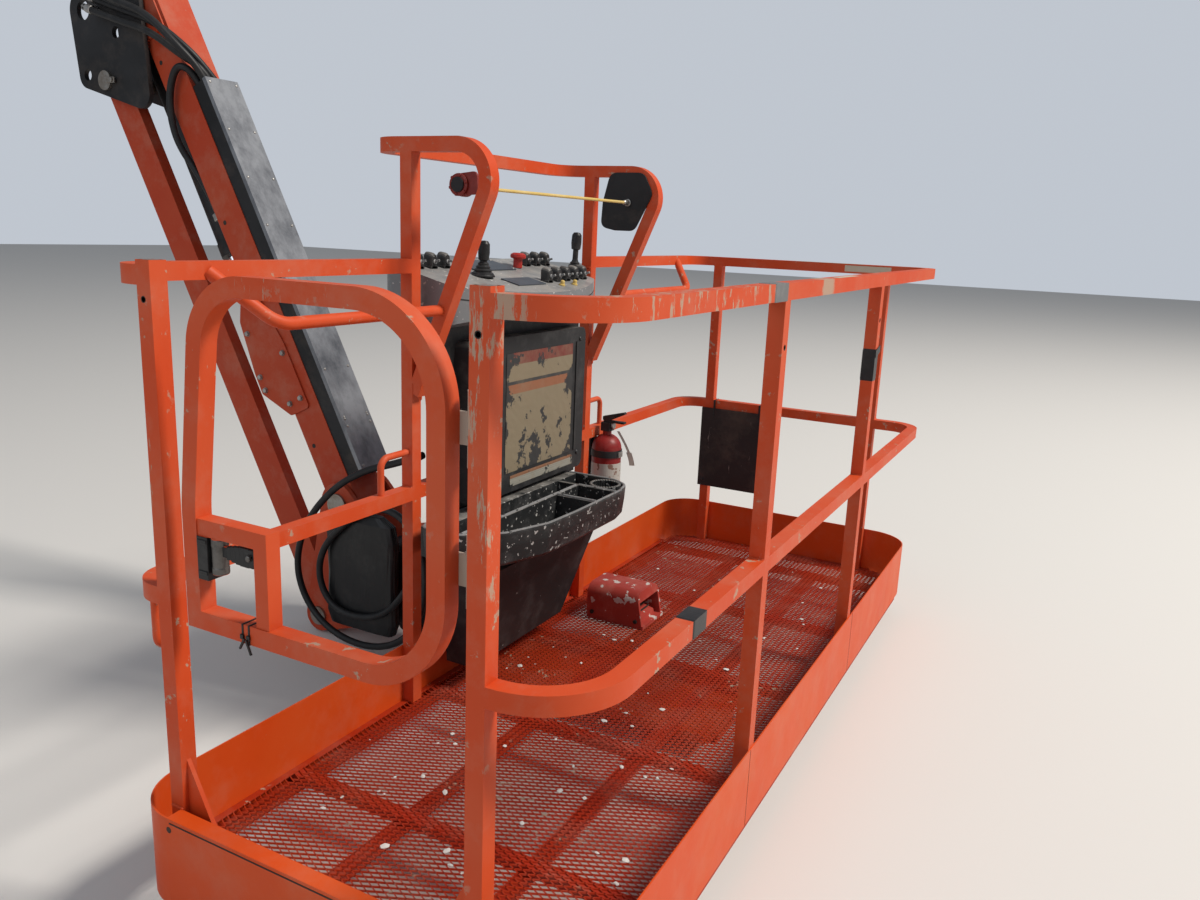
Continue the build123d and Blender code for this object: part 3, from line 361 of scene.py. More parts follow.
def dress(material, nodes, bevel=0.0):
    """Gives CAD nodes a material and softened edges."""
    for node in nodes:
        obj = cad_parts[node]
        if not obj.data.materials:
            obj.data.materials.append(material)
        for place in obj.material_slots:
            place.material = material
        if bevel:
            edge = obj.modifiers.new("edge", "BEVEL")
            edge.width = bevel
            edge.segments = 2
            edge.limit_method = "ANGLE"
            edge.angle_limit = math.radians(40)


RUBBED = [(tuple(at(0.743, 0.016, 0.86)), (0.05, 0.05, 0.36), 0.150), (tuple(at(0.10, 0.016, 0.80)), (0.05, 0.05, 0.4), 0.06),
          (tuple(at(0.90, 0.35, 1.085)), (0.09, 0.60, 0.06), 0.155), (tuple(at(0.75, 0.0, 1.07)), (0.09, 0.06, 0.10), 0.24), (tuple(at(0.90, 1.02, 1.085)), (0.06, 0.07, 0.06), 0.30),
          (tuple(at(0.90, 0.72, 0.55)), (0.06, 0.5, 0.05), 0.08), (tuple(at(0.40, 0.0, 1.08)), (0.12, 0.05, 0.04), 0.12)]
ORANGE = worn_paint("orange_paint", (0.56, 0.058, 0.009), (0.57, 0.085, 0.026), dust_amount=0.22, worn_places=RUBBED)
dress(ORANGE, ("top_rail", "mid_rail", "posts", "guard_near", "guard_far", "guard_bar", "lanyard_eyes", "handrails"), 0.004)

# Post ends, holes and weld beads
# A pressed grey plug closes the top of each gate post, small holes show near it, and a
# fillet of weld runs round each post's foot and where posts meet the rails.
PLUG_POSTS, HOLE_Z = ((0.102, 0.016), (0.743, 0.016)), 1.046
GREY_PLUG = plastic("grey_plug", (0.16, 0.15, 0.14), (0.34, 0.32, 0.30), specks=0.72)
DARK_HOLE = metal("dark_hole", (0.02, 0.018, 0.016), (0.05, 0.03, 0.02), rough=0.7, metallic=0.2)
bm = bmesh.new()
for x, y in PLUG_POSTS:
    add_box(bm, at(x - 0.0145, y - 0.0145, 1.1075), at(x + 0.0145, y + 0.0145, 1.1080))
    add_lathe(bm, [(-0.001, 0.013), (0.0, 0.0135), (0.0004, 0.013)], at(x, y, 1.1078), (0, 0, 1), 20)
finish_piece("post_plugs", bm, GREY_PLUG, "platform")
bm = bmesh.new()
for x, y in PLUG_POSTS:
    add_lathe(bm, [(0.0, 0.0055), (0.0006, 0.0055), (0.0008, 0.0048), (0.0002, 0.0040)], at(x - 0.002, 0.0002, HOLE_Z), (0, -1, 0), 18)
for y in (0.747, 1.566):
    add_lathe(bm, [(0.0, 0.0055), (0.0006, 0.0055), (0.0008, 0.0048), (0.0002, 0.0040)], at(0.9138, y, 0.98), (1, 0, 0), 18)
finish_piece("post_holes", bm, DARK_HOLE, "platform")


def weld(bm, start, end, radius=0.0032):
    """A rippled weld bead along a straight line."""
    start, end = Vector(start), Vector(end)
    long = (end - start).length
    steps = max(4, int(long / 0.005))
    profile = [(0.0, 0.0004)]
    for step in range(steps):
        profile.append(((step + 0.5) * long / steps, radius * (1.0 if step % 2 else 0.8)))
    profile.append((long, 0.0004))
    add_lathe(bm, profile, start, end - start, 8)


bm = bmesh.new()
for x, y in ((0.086, 0.0), (0.727, 0.0)):
    weld(bm, at(x, y - 0.0005, 0.1485), at(x + 0.032, y - 0.0005, 0.1485))
for x, y in ((0.882, 0.731), (0.882, 1.550), (0.0, 0.742), (0.0, 1.590)):
    for z in (0.562, 1.068):
        for side in (0.0, 0.032):
            weld(bm, at(x, y + side, z), at(x + 0.032, y + side, z))
for x in (0.112, 0.724):
    for z in (0.562, 1.068):
        for side in (0.0, 0.032):
            weld(bm, at(x + side, 2.406, z), at(x + side, 2.438, z))
for y in (0.742, 0.774, 1.590, 1.622):
    weld(bm, at(0.0322, y, 0.815), at(0.0322, y, 0.77), 0.003)
finish_piece("weld_beads", bm, ORANGE, "platform")

# Tape and paint marks
# Grey tape round the front top rail, a black strap round the middle rail and black tape on the far front post.
TAPE = plastic("cloth_tape", (0.15, 0.15, 0.15), (0.30, 0.29, 0.28), rough=0.5, specks=0.75, grain=400.0)
BLACK_TAPE = plastic("black_tape", (0.012, 0.012, 0.013), (0.05, 0.05, 0.05), rough=0.35, specks=0.85, grain=300.0)


def wrap(bm, low, high, axis, grow=0.0009):
    """Tape wound round a square tube: three layers a little apart along one axis."""
    for layer in range(3):
        slip = 0.002 * layer
        a, b = Vector(low), Vector(high)
        for side in range(3):
            if side == axis:
                a[side] += slip
                b[side] -= slip
            else:
                a[side] -= grow * (layer + 1) / 3
                b[side] += grow * (layer + 1) / 3
        add_box(bm, a, b)


bm = bmesh.new()
wrap(bm, at(0.882, 0.664, 1.068), at(0.914, 0.742, 1.100), 1)
finish_piece("grey_tape", bm, TAPE, "platform", 0.0006)
bm = bmesh.new()
wrap(bm, at(0.882, 0.372, 0.530), at(0.914, 0.432, 0.562), 1)
wrap(bm, at(0.882, 1.550, 0.820), at(0.914, 1.582, 0.905), 2)
add_box(bm, at(0.9150, 1.5500, 0.888), at(0.9163, 1.5980, 0.908), Matrix.Rotation(0.25, 4, "X"))
finish_piece("black_tape", bm, BLACK_TAPE, "platform", 0.0006)

# Blank label strips
# Cream strips on the top rails and on the far rail, worn at their ends.
CREAM = plastic("cream_label", (0.52, 0.47, 0.36), (0.62, 0.58, 0.50), rough=0.45, specks=0.66, speck_colour=(0.30, 0.10, 0.05), speck_scale=30.0)
bm = bmesh.new()
add_box(bm, at(0.43, 2.4065, 1.1000), at(0.66, 2.4330, 1.1006))
add_box(bm, at(0.60, 2.4055, 1.074), at(0.76, 2.4059, 1.095))
add_box(bm, at(0.8935, 1.12, 1.1000), at(0.9100, 1.30, 1.1006))
finish_piece("label_strips", bm, CREAM, "platform", 0.0003)

# Toe board, deck frame and support
# Cleaner orange paint with seams where the bent sheets meet, and scuffs along the top edge.
ORANGE_CLEAN = worn_paint("orange_paint_clean", (0.62, 0.066, 0.006), (0.64, 0.084, 0.012), (0.38, 0.25, 0.18), wear=0.70, rough=0.34, dust_amount=0.16)
dress(ORANGE_CLEAN, ("toe_board", "platform_support", "entry_plate", "deck_mesh"), 0.0008)
RED_DECK = worn_paint("red_deck_paint", (0.34, 0.020, 0.005), (0.40, 0.032, 0.010), (0.30, 0.18, 0.14), wear=0.64, rough=0.45, dust_amount=0.45)
dress(RED_DECK, ("deck_beams", "deck_cross_beams"), 0.002)
bm = bmesh.new()
for y in (0.738, 1.603):
    add_box(bm, at(0.9168, y - 0.0006, -0.029), at(0.9173, y + 0.0006, 0.147))
add_box(bm, at(0.120, -0.0336, 0.1385), at(0.754, -0.0329, 0.1412))
for x in (0.118, 0.750):
    add_lathe(bm, [(0.0, 0.0060), (0.0004, 0.0060), (0.0006, 0.0040)], at(x, -0.0330, 0.126), (0, -1, 0), 16)
finish_piece("toe_board_seams", bm, DARK_HOLE, "platform")

# Deck mesh
# Expanded metal with its long way across the platform: rows of slanted strands between
# staggered knuckles, cut to the rounded outline of the toe board.
LONG_WAY, SHORT_WAY, STRAND, MESH_THICK = 0.030, 0.014, 0.0024, 0.0026
MESH_X, MESH_Y = (0.0008, 0.9130), (-0.0275, 2.4345)


def spread(name, seed, places, material, body):
    """Copies of a seed mesh at many places, made by Geometry Nodes and kept as one mesh."""
    points = bpy.data.meshes.new(name + "_places")
    points.from_pydata(places, [], [])
    piece = bpy.data.objects.new(name, points)
    bpy.context.scene.collection.objects.link(piece)
    seed_object = bpy.data.objects.new(name + "_seed", seed)
    bpy.context.scene.collection.objects.link(seed_object)
    group = bpy.data.node_groups.new(name, "GeometryNodeTree")
    group.interface.new_socket("Geometry", in_out="INPUT", socket_type="NodeSocketGeometry")
    group.interface.new_socket("Geometry", in_out="OUTPUT", socket_type="NodeSocketGeometry")
    start = group.nodes.new("NodeGroupInput")
    end = group.nodes.new("NodeGroupOutput")
    info = group.nodes.new("GeometryNodeObjectInfo")
    info.inputs["Object"].default_value = seed_object
    copies = group.nodes.new("GeometryNodeInstanceOnPoints")
    real = group.nodes.new("GeometryNodeRealizeInstances")
    painted = group.nodes.new("GeometryNodeSetMaterial")
    painted.inputs["Material"].default_value = material
    group.links.new(start.outputs[0], copies.inputs["Points"])
    group.links.new(info.outputs["Geometry"], copies.inputs["Instance"])
    group.links.new(copies.outputs["Instances"], real.inputs["Geometry"])
    group.links.new(real.outputs["Geometry"], painted.inputs["Geometry"])
    group.links.new(painted.outputs["Geometry"], end.inputs[0])
    nodes = piece.modifiers.new("copies", "NODES")
    nodes.node_group = group
    made = bpy.data.meshes.new_from_object(piece.evaluated_get(bpy.context.evaluated_depsgraph_get()))
    piece.modifiers.remove(nodes)
    piece.data = made
    if not made.materials:
        made.materials.append(material)
    bpy.data.objects.remove(seed_object)
    bpy.data.node_groups.remove(group)
    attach(piece, body)
    return piece


def in_outline(x, y, margin):
    """True where a deck place is inside the toe board's rounded corners."""
    corners = ((0.113, 0.113 - 0.03, 0.113, -1, -1), (0.914 - 0.153, 0.153 - 0.03, 0.153, 1, -1),
               (0.914 - 0.133, 2.438 - 0.133, 0.133, 1, 1), (0.113, 2.438 - 0.113, 0.113, -1, 1))
    for cx, cy, radius, sx, sy in corners:
        if (x - cx) * sx > 0 and (y - cy) * sy > 0 and math.hypot(x - cx, y - cy) > radius - margin:
            return False
    return True


bm = bmesh.new()
for side in (-1, 1):
    a, b = Vector((0, 0, 0)), Vector((side * LONG_WAY / 2, SHORT_WAY / 2, 0))
    along = (b - a).normalized()
    across = Vector((-along.y, along.x, 0)) * STRAND / 2
    lean = Vector((0, 0.0006 * side, MESH_THICK / 2))
    ring_a = [bm.verts.new(a + c) for c in (-across - lean, across - lean, across + lean, -across + lean)]
    ring_b = [bm.verts.new(b + c) for c in (-across - lean, across - lean, across + lean, -across + lean)]
    for step in range(4):
        bm.faces.new((ring_a[step], ring_a[(step + 1) % 4], ring_b[(step + 1) % 4], ring_b[step]))
strand_seed = bpy.data.meshes.new("strand_seed")
bmesh.ops.recalc_face_normals(bm, faces=bm.faces)
bm.to_mesh(strand_seed)
bm.free()
knuckles = []
rows = int((MESH_Y[1] - MESH_Y[0]) / (SHORT_WAY / 2))
columns = int((MESH_X[1] - MESH_X[0]) / LONG_WAY)
for row in range(rows - 1):
    y = MESH_Y[0] + SHORT_WAY / 2 * row
    for column in range(1, columns):
        x = MESH_X[0] + (column + 0.5 * (row % 2)) * LONG_WAY
        if in_outline(x, y, 0.016) and x < MESH_X[1] - 0.0155:
            knuckles.append(at(x, y, -0.0016))
RED_MESH = worn_paint("red_mesh_paint", (0.34, 0.022, 0.004), (0.38, 0.034, 0.007), (0.40, 0.28, 0.20), wear=0.62, rough=0.32, dust_amount=0.20)
deck = spread("expanded_mesh", strand_seed, knuckles, RED_MESH, "platform")
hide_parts("deck_mesh", "entry_plate")
bm = bmesh.new()
for low, high in (((0.0004, 0.10), (0.0165, 2.31)), ((0.8975, 0.14), (0.9136, 2.29)), ((0.13, 2.4205), (0.79, 2.4376)), ((0.12, -0.0285), (0.76, -0.0150))):
    add_box(bm, at(*low, -0.0030), at(*high, -0.0003))
finish_piece("mesh_edge_strips", bm, RED_MESH, "platform", 0.0006)

# Dirt on the deck
# Flakes of plaster and paper scraps lie on the mesh, thicker near the gate.
random.seed(7)
PLASTER = plastic("plaster_crumb", (0.62, 0.60, 0.56), (0.74, 0.72, 0.68), rough=0.9, specks=0.9)
bm = bmesh.new()
scraps = [(0.603, 0.606), (0.713, 0.458), (0.212, 0.457), (0.061, 0.547), (0.261, 0.719), (0.462, 0.312), (0.525, 0.274), (0.343, 0.691), (0.545, 0.601), (0.504, 1.492), (0.383, 1.33), (0.34, 0.947)]
for count in range(70):
    scraps.append((random.uniform(0.12, 0.80), random.uniform(0.15, 2.25)))
for x, y in scraps:
    size = random.uniform(0.003, 0.011)
    turned = Matrix.Rotation(random.uniform(0, 6.28), 4, "Z") @ Matrix.Rotation(random.uniform(-0.25, 0.25), 4, "X")
    place = Matrix.Translation(at(x, y, size * 0.16)) @ turned @ Matrix.Diagonal((1, random.uniform(0.5, 0.9), 0.22, 1))
    bmesh.ops.create_icosphere(bm, subdivisions=1, radius=size, matrix=place)
for vertex in bm.verts:
    vertex.co += Vector((random.uniform(-1, 1), random.uniform(-1, 1), random.uniform(-0.3, 0.3))) * 0.0008
finish_piece("deck_scraps", bm, PLASTER, "platform")

# Gate
# One bent tube with a black latch block, a grey barrel, cable ties and pressed grey hinge plates. The latch block's
# tall box is black partly as painted shade, standing for the shaded inner side of the tube beside it.
dress(ORANGE, ("gate_frame",), 0.004)
dress(ORANGE, ("gate_latch",), 0.001)
HINGE_STEEL = worn_paint("hinge_grey", (0.42, 0.36, 0.28), (0.50, 0.44, 0.36), (0.36, 0.12, 0.05), wear=0.60, rough=0.5, dust_amount=0.2)
dress(HINGE_STEEL, ("hinge_pins", "gate_knuckles"), 0.0006)
LATCH_BLACK = plastic("latch_black", (0.012, 0.012, 0.013), (0.07, 0.068, 0.065), rough=0.4, specks=0.74)
ZINC_BOLT = metal("zinc_bolt", (0.46, 0.45, 0.43), (0.22, 0.20, 0.18), rough=0.42)
BARREL_GREY = metal("latch_barrel_steel", (0.15, 0.14, 0.13), (0.05, 0.045, 0.04), rough=0.40, metallic=0.6)
bm = bmesh.new()
# Black box beside the tube: partly the latch, partly painted shade for the shaded inner side of the gate tube.
add_box(bm, at(0.1925, -0.0012, 0.600), at(0.2165, 0.0310, 0.6738))
for z in (0.609, 0.662):
    add_box(bm, at(0.1940, -0.0026, z), at(0.2150, -0.0010, z + 0.007))
for step in range(8):
    near, far = 0.240 + 0.0098 * step, 0.240 + 0.0098 * (step + 1)
    tall = 0.0065 + 0.0095 * math.sin(math.pi * min(1.0, (step + 0.7) / 8.0) * 0.75)
    add_box(bm, at(near, 0.0085, 0.652 - tall), at(far + 0.0006, 0.0175, 0.652 + tall))
finish_piece("latch_block", bm, LATCH_BLACK, "gate", 0.0008)
bm = bmesh.new()
add_lathe(bm, [(0.0, 0.0131), (0.002, 0.0138), (0.010, 0.0138), (0.012, 0.0131), (0.046, 0.0131), (0.048, 0.0138), (0.058, 0.0138), (0.061, 0.0120)], at(0.229, 0.014, 0.6125), (0, 0, 1), 28)
add_lathe(bm, [(0.0, 0.0045), (0.002, 0.0055), (0.006, 0.0055), (0.007, 0.0040)], at(0.302, 0.0098, 0.654), (0, -1, 0), 6)
finish_piece("latch_barrel", bm, BARREL_GREY, "gate")
bm = bmesh.new()
for x, z in ((0.286, 0.5265), (0.300, 0.5265)):
    wrap(bm, at(x, 0.0, 0.510), at(x + 0.0048, 0.032, 0.542), 0, 0.0011)
    add_box(bm, at(x - 0.001, -0.0035, 0.518), at(x + 0.006, -0.0008, 0.526))
add_box(bm, at(0.289, -0.006, 0.500), at(0.2925, -0.0025, 0.522), Matrix.Rotation(0.5, 4, "Y"))
add_box(bm, at(0.303, -0.006, 0.494), at(0.3065, -0.0025, 0.520), Matrix.Rotation(-0.4, 4, "Y"))
finish_piece("gate_ties", bm, BLACK_TAPE, "gate", 0.0004)
bm = bmesh.new()
for low, high in ((0.656, 0.764), (0.860, 0.966)):
    for z in (low + 0.014, high - 0.014):
        add_lathe(bm, [(0.0, 0.0060), (0.0015, 0.0060), (0.0030, 0.0046), (0.0034, 0.0015)], at(0.7212, 0.0249, z), (0, -1, 0), 16)
    add_lathe(bm, [(0.0, 0.0092), (0.0010, 0.0094), (0.0014, 0.0080), (0.0018, 0.0030)], at(0.7125, 0.034, high), (0, 0, 1), 20)
finish_piece("hinge_rivets", bm, HINGE_STEEL, "platform")

# Trip wire
# A yellow sheathed cable across the guard, with a small switch at one end and a plate at the other.
BLACK_PAINT = worn_paint("black_paint", (0.010, 0.010, 0.011), (0.026, 0.026, 0.028), (0.2, 0.19, 0.18), wear=0.72, rough=0.45, dust_amount=0.10)
SWITCH_RED = plastic("switch_red", (0.20, 0.020, 0.014), (0.34, 0.07, 0.05), rough=0.45, specks=0.78)


def add_plate(bm, outline, low, high, axis=1):
    """A flat plate: an outline of two coordinates, given thickness along the third."""
    faces = []
    for level in (low, high):
        ring = []
        for a, b in outline:
            place = [a, b]
            place.insert(axis, level)
            ring.append(bm.verts.new(at(*place)))
        faces.append(ring)
    bm.faces.new(faces[0])
    bm.faces.new(list(reversed(faces[1])))
    for step in range(len(outline)):
        after = (step + 1) % len(outline)
        bm.faces.new((faces[0][step], faces[0][after], faces[1][after], faces[1][step]))


def rounded(corners, radius, steps=6):
    """A polygon's outline with each corner rounded."""
    outline = []
    for count, corner in enumerate(corners):
        corner = Vector(corner)
        before = (Vector(corners[count - 1]) - corner).normalized()
        after = (Vector(corners[(count + 1) % len(corners)]) - corner).normalized()
        half = before.angle(after) / 2
        reach = min(radius / math.tan(half), 0.45 * min((Vector(corners[count - 1]) - corner).length, (Vector(corners[(count + 1) % len(corners)]) - corner).length))
        start, end = corner + before * reach, corner + after * reach
        for step in range(steps + 1):
            t = step / steps
            outline.append(tuple(start * (1 - t) ** 2 + corner * 2 * t * (1 - t) + end * t ** 2))
    return outline


bm = bmesh.new()
add_plate(bm, rounded([(0.088, 1.347), (0.066, 1.262), (0.062, 1.190), (0.110, 1.181), (0.174, 1.181), (0.229, 1.288), (0.198, 1.347)], 0.030), 1.5852, 1.5898)
far_plate = finish_piece("wire_far_plate", bm, BLACK_PAINT, "platform", 0.001)
bm = bmesh.new()
add_plate(bm, rounded([(0.128, 1.243), (0.128, 1.289), (0.186, 1.296), (0.190, 1.246)], 0.012), 0.7742, 0.7798)
add_lathe(bm, [(0.0, 0.0200), (0.003, 0.0250), (0.012, 0.0255), (0.020, 0.0255), (0.022, 0.0190), (0.023, 0.0185)], at(0.1400, 0.7800, 1.2660), (0, 1, 0), 32)
add_lathe(bm, [(0.0, 0.0225), (0.002, 0.0245), (0.005, 0.0245), (0.006, 0.0200)], at(0.1400, 0.7742, 1.2660), (0, -1, 0), 32)
for step in range(6):
    angle = step * math.pi / 3 + 0.3
    add_lathe(bm, [(0.0, 0.0042), (0.002, 0.0042), (0.003, 0.0034)], at(0.1400 + 0.0212 * math.cos(angle), 0.7690, 1.2660 + 0.0212 * math.sin(angle)), (0, -1, 0), 6)
wire_switch = finish_piece("wire_switch", bm, SWITCH_RED, "platform", 0.0008)
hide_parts("wire_plate")
bm = bmesh.new()
add_lathe(bm, [(0.0, 0.0165), (0.0035, 0.0165), (0.0045, 0.0150), (0.0046, 0.0060)], at(0.1400, 0.7684, 1.2660), (0, -1, 0), 28)
finish_piece("wire_switch_face", bm, BLACK_PAINT, "platform")
YELLOW = plastic("yellow_sheath", (0.58, 0.41, 0.12), (0.68, 0.55, 0.30), specks=0.9)
dress(YELLOW, ("trip_wire",))
bm = bmesh.new()
add_lathe(bm, [(0.0, 0.0125), (0.004, 0.0125), (0.006, 0.0095), (0.030, 0.0085), (0.034, 0.0045)], at(0.150, 0.8031, 1.262), (0, 1, 0), 20)
add_lathe(bm, [(0.0, 0.0105), (0.003, 0.0105), (0.004, 0.0080), (0.024, 0.0070), (0.028, 0.0045)], at(0.150, 1.5848, 1.262), (0, -1, 0), 20)
finish_piece("wire_ends", bm, ZINC_BOLT, "platform")

# Console
# A grey moulded box with a lid seam, a slate panel, rows of domed switch guards, rubber boots
# under the joysticks and a red mushroom button, all speckled, the grey and black plastic paler in patches on upward
# faces.
GREY_PLASTIC = plastic("grey_console", (0.17, 0.178, 0.185), (0.38, 0.385, 0.39), rough=0.42, specks=0.655, speck_scale=75.0, top_paling=0.95)
BLACK_PLASTIC = plastic("black_plastic", (0.016, 0.016, 0.017), (0.090, 0.088, 0.086), specks=0.72, top_paling=0.5)
dress(GREY_PLASTIC, ("console_box",), 0.012)
TOP_FALL, TOP_REAR, TOP_Z = 0.235, -0.105, 1.090
LID_SLOPE = Matrix.Rotation(math.atan(TOP_FALL), 4, "Y")


def seat(x):
    """Height of the console's sloping top."""
    return TOP_Z - TOP_FALL * (x - TOP_REAR)


def on_lid(x, y, lift=0.0):
    """Place above the console's top."""
    return at(x, y, seat(x) + lift)


SEAM_DARK = plastic("seam_dark", (0.018, 0.018, 0.019), (0.05, 0.05, 0.05), specks=0.8)
bm = bmesh.new()
BULGE_RADIUS, BULGE_MIDDLE = 0.735, (-0.549, 1.145)
for drop, tall in ((0.030, 0.003),):
    for step in range(40):
        ring = []
        for count in (step, step + 1):
            angle = math.radians(-26.2 + 52.4 * count / 40)
            x, y = BULGE_MIDDLE[0] + BULGE_RADIUS * math.cos(angle), BULGE_MIDDLE[1] + BULGE_RADIUS * math.sin(angle)
            for lift in (0.0, tall):
                for out in (-0.001, 0.0005):
                    ring.append(at(x + out, y, seat(x) - drop + lift))
        corners = [bm.verts.new(c) for c in ring]
        for face in ((0, 1, 3, 2), (5, 4, 6, 7), (1, 5, 7, 3), (4, 0, 2, 6), (2, 3, 7, 6), (4, 5, 1, 0)):
            bm.faces.new([corners[c] for c in face])
finish_piece("console_seam", bm, SEAM_DARK, "platform")
SLATE = plastic("slate_panel", (0.055, 0.065, 0.080), (0.12, 0.13, 0.14), rough=0.4, specks=0.80)
bm = bmesh.new()
for x0, x1, y0, y1 in ((-0.088, 0.002, 1.04, 1.225), (0.070, 0.128, 1.045, 1.175)):
    middle = on_lid((x0 + x1) / 2, (y0 + y1) / 2, 0.0018)
    half = Vector(((x1 - x0) / 2, (y1 - y0) / 2, 0.0016))
    add_box(bm, middle - half, middle + half, LID_SLOPE)
finish_piece("console_panels", bm, SLATE, "platform", 0.001)
bm = bmesh.new()
for y in (0.845, 1.445):
    for x in (-0.08, 0.075):
        add_lathe(bm, [(0.0, 0.0062), (0.0012, 0.0062), (0.0028, 0.0045), (0.0030, 0.0018)], on_lid(x, y), (TOP_FALL, 0, 1), 16)
for y in (1.048, 1.217):
    for x in (-0.080, -0.006):
        add_lathe(bm, [(0.0, 0.0042), (0.0010, 0.0042), (0.0020, 0.0030)], on_lid(x, y, 0.0034), (TOP_FALL, 0, 1), 14)
finish_piece("console_screws", bm, ZINC_BOLT, "platform")
PALE_RIM = plastic("scuffed_rim", (0.20, 0.20, 0.20), (0.42, 0.42, 0.41), rough=0.4, specks=0.62, speck_colour=(0.04, 0.04, 0.04), speck_scale=50.0)
GUARD_DARK = plastic("switch_guard_dark", (0.022, 0.022, 0.023), (0.10, 0.098, 0.094), rough=0.4, specks=0.74, top_paling=0.8)
SWITCHES = [(0.104 - 0.003 * n, 1.215 + 0.052 * n) for n in range(5)]
SWITCHES += [(-0.040, 1.330 + 0.052 * n) for n in range(3)] + [(-0.040, 0.850 + 0.052 * n) for n in range(3)]
bm = bmesh.new()
for x, y in SWITCHES:
    rings = []
    for reach in (-0.0130, -0.0105, -0.0060, 0.0030, 0.0090, 0.0130):
        narrow = 0.0025 if abs(reach) > 0.012 else 0.0
        half, top = 0.0120 - narrow, seat(x) + 0.038 - narrow - 0.35 * max(0.0, reach)
        ring = [bm.verts.new(at(x + reach, y + half, seat(x + reach) - 0.0005))]
        for step in range(9):
            angle = math.pi * step / 8
            ring.append(bm.verts.new(at(x + reach, y + half * math.cos(angle), top - half + half * math.sin(angle))))
        ring.append(bm.verts.new(at(x + reach, y - half, seat(x + reach) - 0.0005)))
        rings.append(ring)
    for first, second in zip(rings, rings[1:]):
        for step in range(11):
            bm.faces.new((first[step], first[(step + 1) % 11], second[(step + 1) % 11], second[step]))
    bm.faces.new(rings[0])
    bm.faces.new(list(reversed(rings[-1])))
    add_box(bm, at(x - 0.0130, y - 0.0135, seat(x) - 0.002), at(x + 0.0130, y + 0.0135, seat(x) + 0.004))
guards = finish_piece("switch_guard_domes", bm, GUARD_DARK, "platform", 0.0006)
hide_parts("switch_guards")
bm = bmesh.new()
for x, y in SWITCHES:
    add_lathe(bm, [(0.0, 0.0060), (0.003, 0.0060), (0.004, 0.0036), (0.013, 0.0028), (0.015, 0.0032), (0.016, 0.0016)], at(x + 0.0128, y, seat(x) + 0.014), (1, 0, 0.3), 16)
finish_piece("switch_levers", bm, PALE_RIM, "platform")
bm = bmesh.new()
for x, y, high in ((0.040, 1.010, 0.088), (0.050, 1.456, 0.118)):
    rings = [(0.000, 0.0310), (0.003, 0.0310), (0.006, 0.0280)]
    for fold in range(4):
        rings += [(0.008 + fold * 0.008, 0.0275 - fold * 0.0045), (0.012 + fold * 0.008, 0.0215 - fold * 0.0040)]
    rings += [(0.042, 0.0080), (high - 0.050, 0.0078), (high - 0.047, 0.0130), (high - 0.030, 0.0148), (high - 0.008, 0.0138), (high - 0.001, 0.0090), (high, 0.0020)]
    add_lathe(bm, rings, on_lid(x, y), (0.05, 0, 1), 28)
sticks = finish_piece("joystick_boots", bm, LATCH_BLACK, "platform")
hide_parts("joysticks")
RED_PLASTIC = plastic("red_button", (0.42, 0.022, 0.016), (0.50, 0.10, 0.08), rough=0.35, specks=0.78)
bm = bmesh.new()
add_lathe(bm, [(0.0, 0.0125), (0.024, 0.0125), (0.026, 0.0205), (0.030, 0.0219), (0.036, 0.0210), (0.040, 0.0140), (0.0402, 0.0030)], on_lid(-0.020, 1.262), (TOP_FALL * 0.2, 0, 1), 32)
finish_piece("stop_button", bm, RED_PLASTIC, "platform")
bm = bmesh.new()
for x, y in ((-0.035, 1.295), (0.140, 1.235), (0.141, 1.300)):
    add_lathe(bm, [(0.0, 0.0085), (0.003, 0.0085), (0.004, 0.0060), (0.012, 0.0055), (0.014, 0.0030)], on_lid(x, y), (TOP_FALL, 0, 1), 20)
finish_piece("yellow_switches", bm, YELLOW, "platform")

# Rear panel, document box and lower housing
# Black moulded plastic. The document box carries faded label sheets with no writing on them,
# torn at their edges, and the housing has pressed ribs. The upper sheet's cream is darkened with painted shade.
dress(BLACK_PLASTIC, ("console_pedestal", "document_box"), 0.005)
dress(BLACK_PLASTIC, ("lower_housing",), 0.012)


def faded_sheet(name, low, high, bands):
    """Sun-bleached sheet in bands of colour by height, torn away in patches. Bands run upwards."""
    material, tree, shader, where = new_material(name)
    split = tree.nodes.new("ShaderNodeSeparateXYZ")
    tree.links.new(where, split.inputs[0])
    height = tree.nodes.new("ShaderNodeMapRange")
    height.inputs["From Min"].default_value = low
    height.inputs["From Max"].default_value = high
    tree.links.new(split.outputs["Z"], height.inputs["Value"])
    bandage = tree.nodes.new("ShaderNodeValToRGB")
    bandage.color_ramp.interpolation = "CONSTANT"
    for count, (start, colour) in enumerate(bands):
        if count < 2:
            stop = bandage.color_ramp.elements[count]
            stop.position = start
        else:
            stop = bandage.color_ramp.elements.new(start)
        stop.color = (*colour, 1)
    tree.links.new(height.outputs["Result"], bandage.inputs["Fac"])
    stains = ramp(tree, noise(tree, where, 14.0, 6.0, 0.7), 0.46, 0.80)
    colour = mix(tree, calc(tree, "MULTIPLY", stains, 0.55), bandage.outputs["Color"], (0.22, 0.17, 0.11))
    edge = tree.nodes.new("ShaderNodeVectorMath")
    edge.operation = "SUBTRACT"
    edge.inputs[1].default_value = at(0.101, 1.205, (low + high) / 2 - ORIGIN.z)
    tree.links.new(where, edge.inputs[0])
    spans = tree.nodes.new("ShaderNodeSeparateXYZ")
    tree.links.new(edge.outputs["Vector"], spans.inputs[0])
    side = ramp(tree, calc(tree, "ABSOLUTE", spans.outputs["Y"], 0.0), 0.120, 0.180)
    foot = ramp(tree, spans.outputs["Z"], -0.05, -0.17)
    tear = calc(tree, "ADD", noise(tree, where, 16.0, 7.0, 0.62), calc(tree, "MULTIPLY", calc(tree, "MAXIMUM", side, foot), 0.13))
    torn = ramp(tree, tear, 0.605, 0.620)
    colour = mix(tree, torn, colour, (0.022, 0.022, 0.022))
    tree.links.new(colour, shader.inputs["Base Color"])
    shader.inputs["Roughness"].default_value = 0.55
    bump(tree, shader, torn, 0.3, 0.0006)
    return material


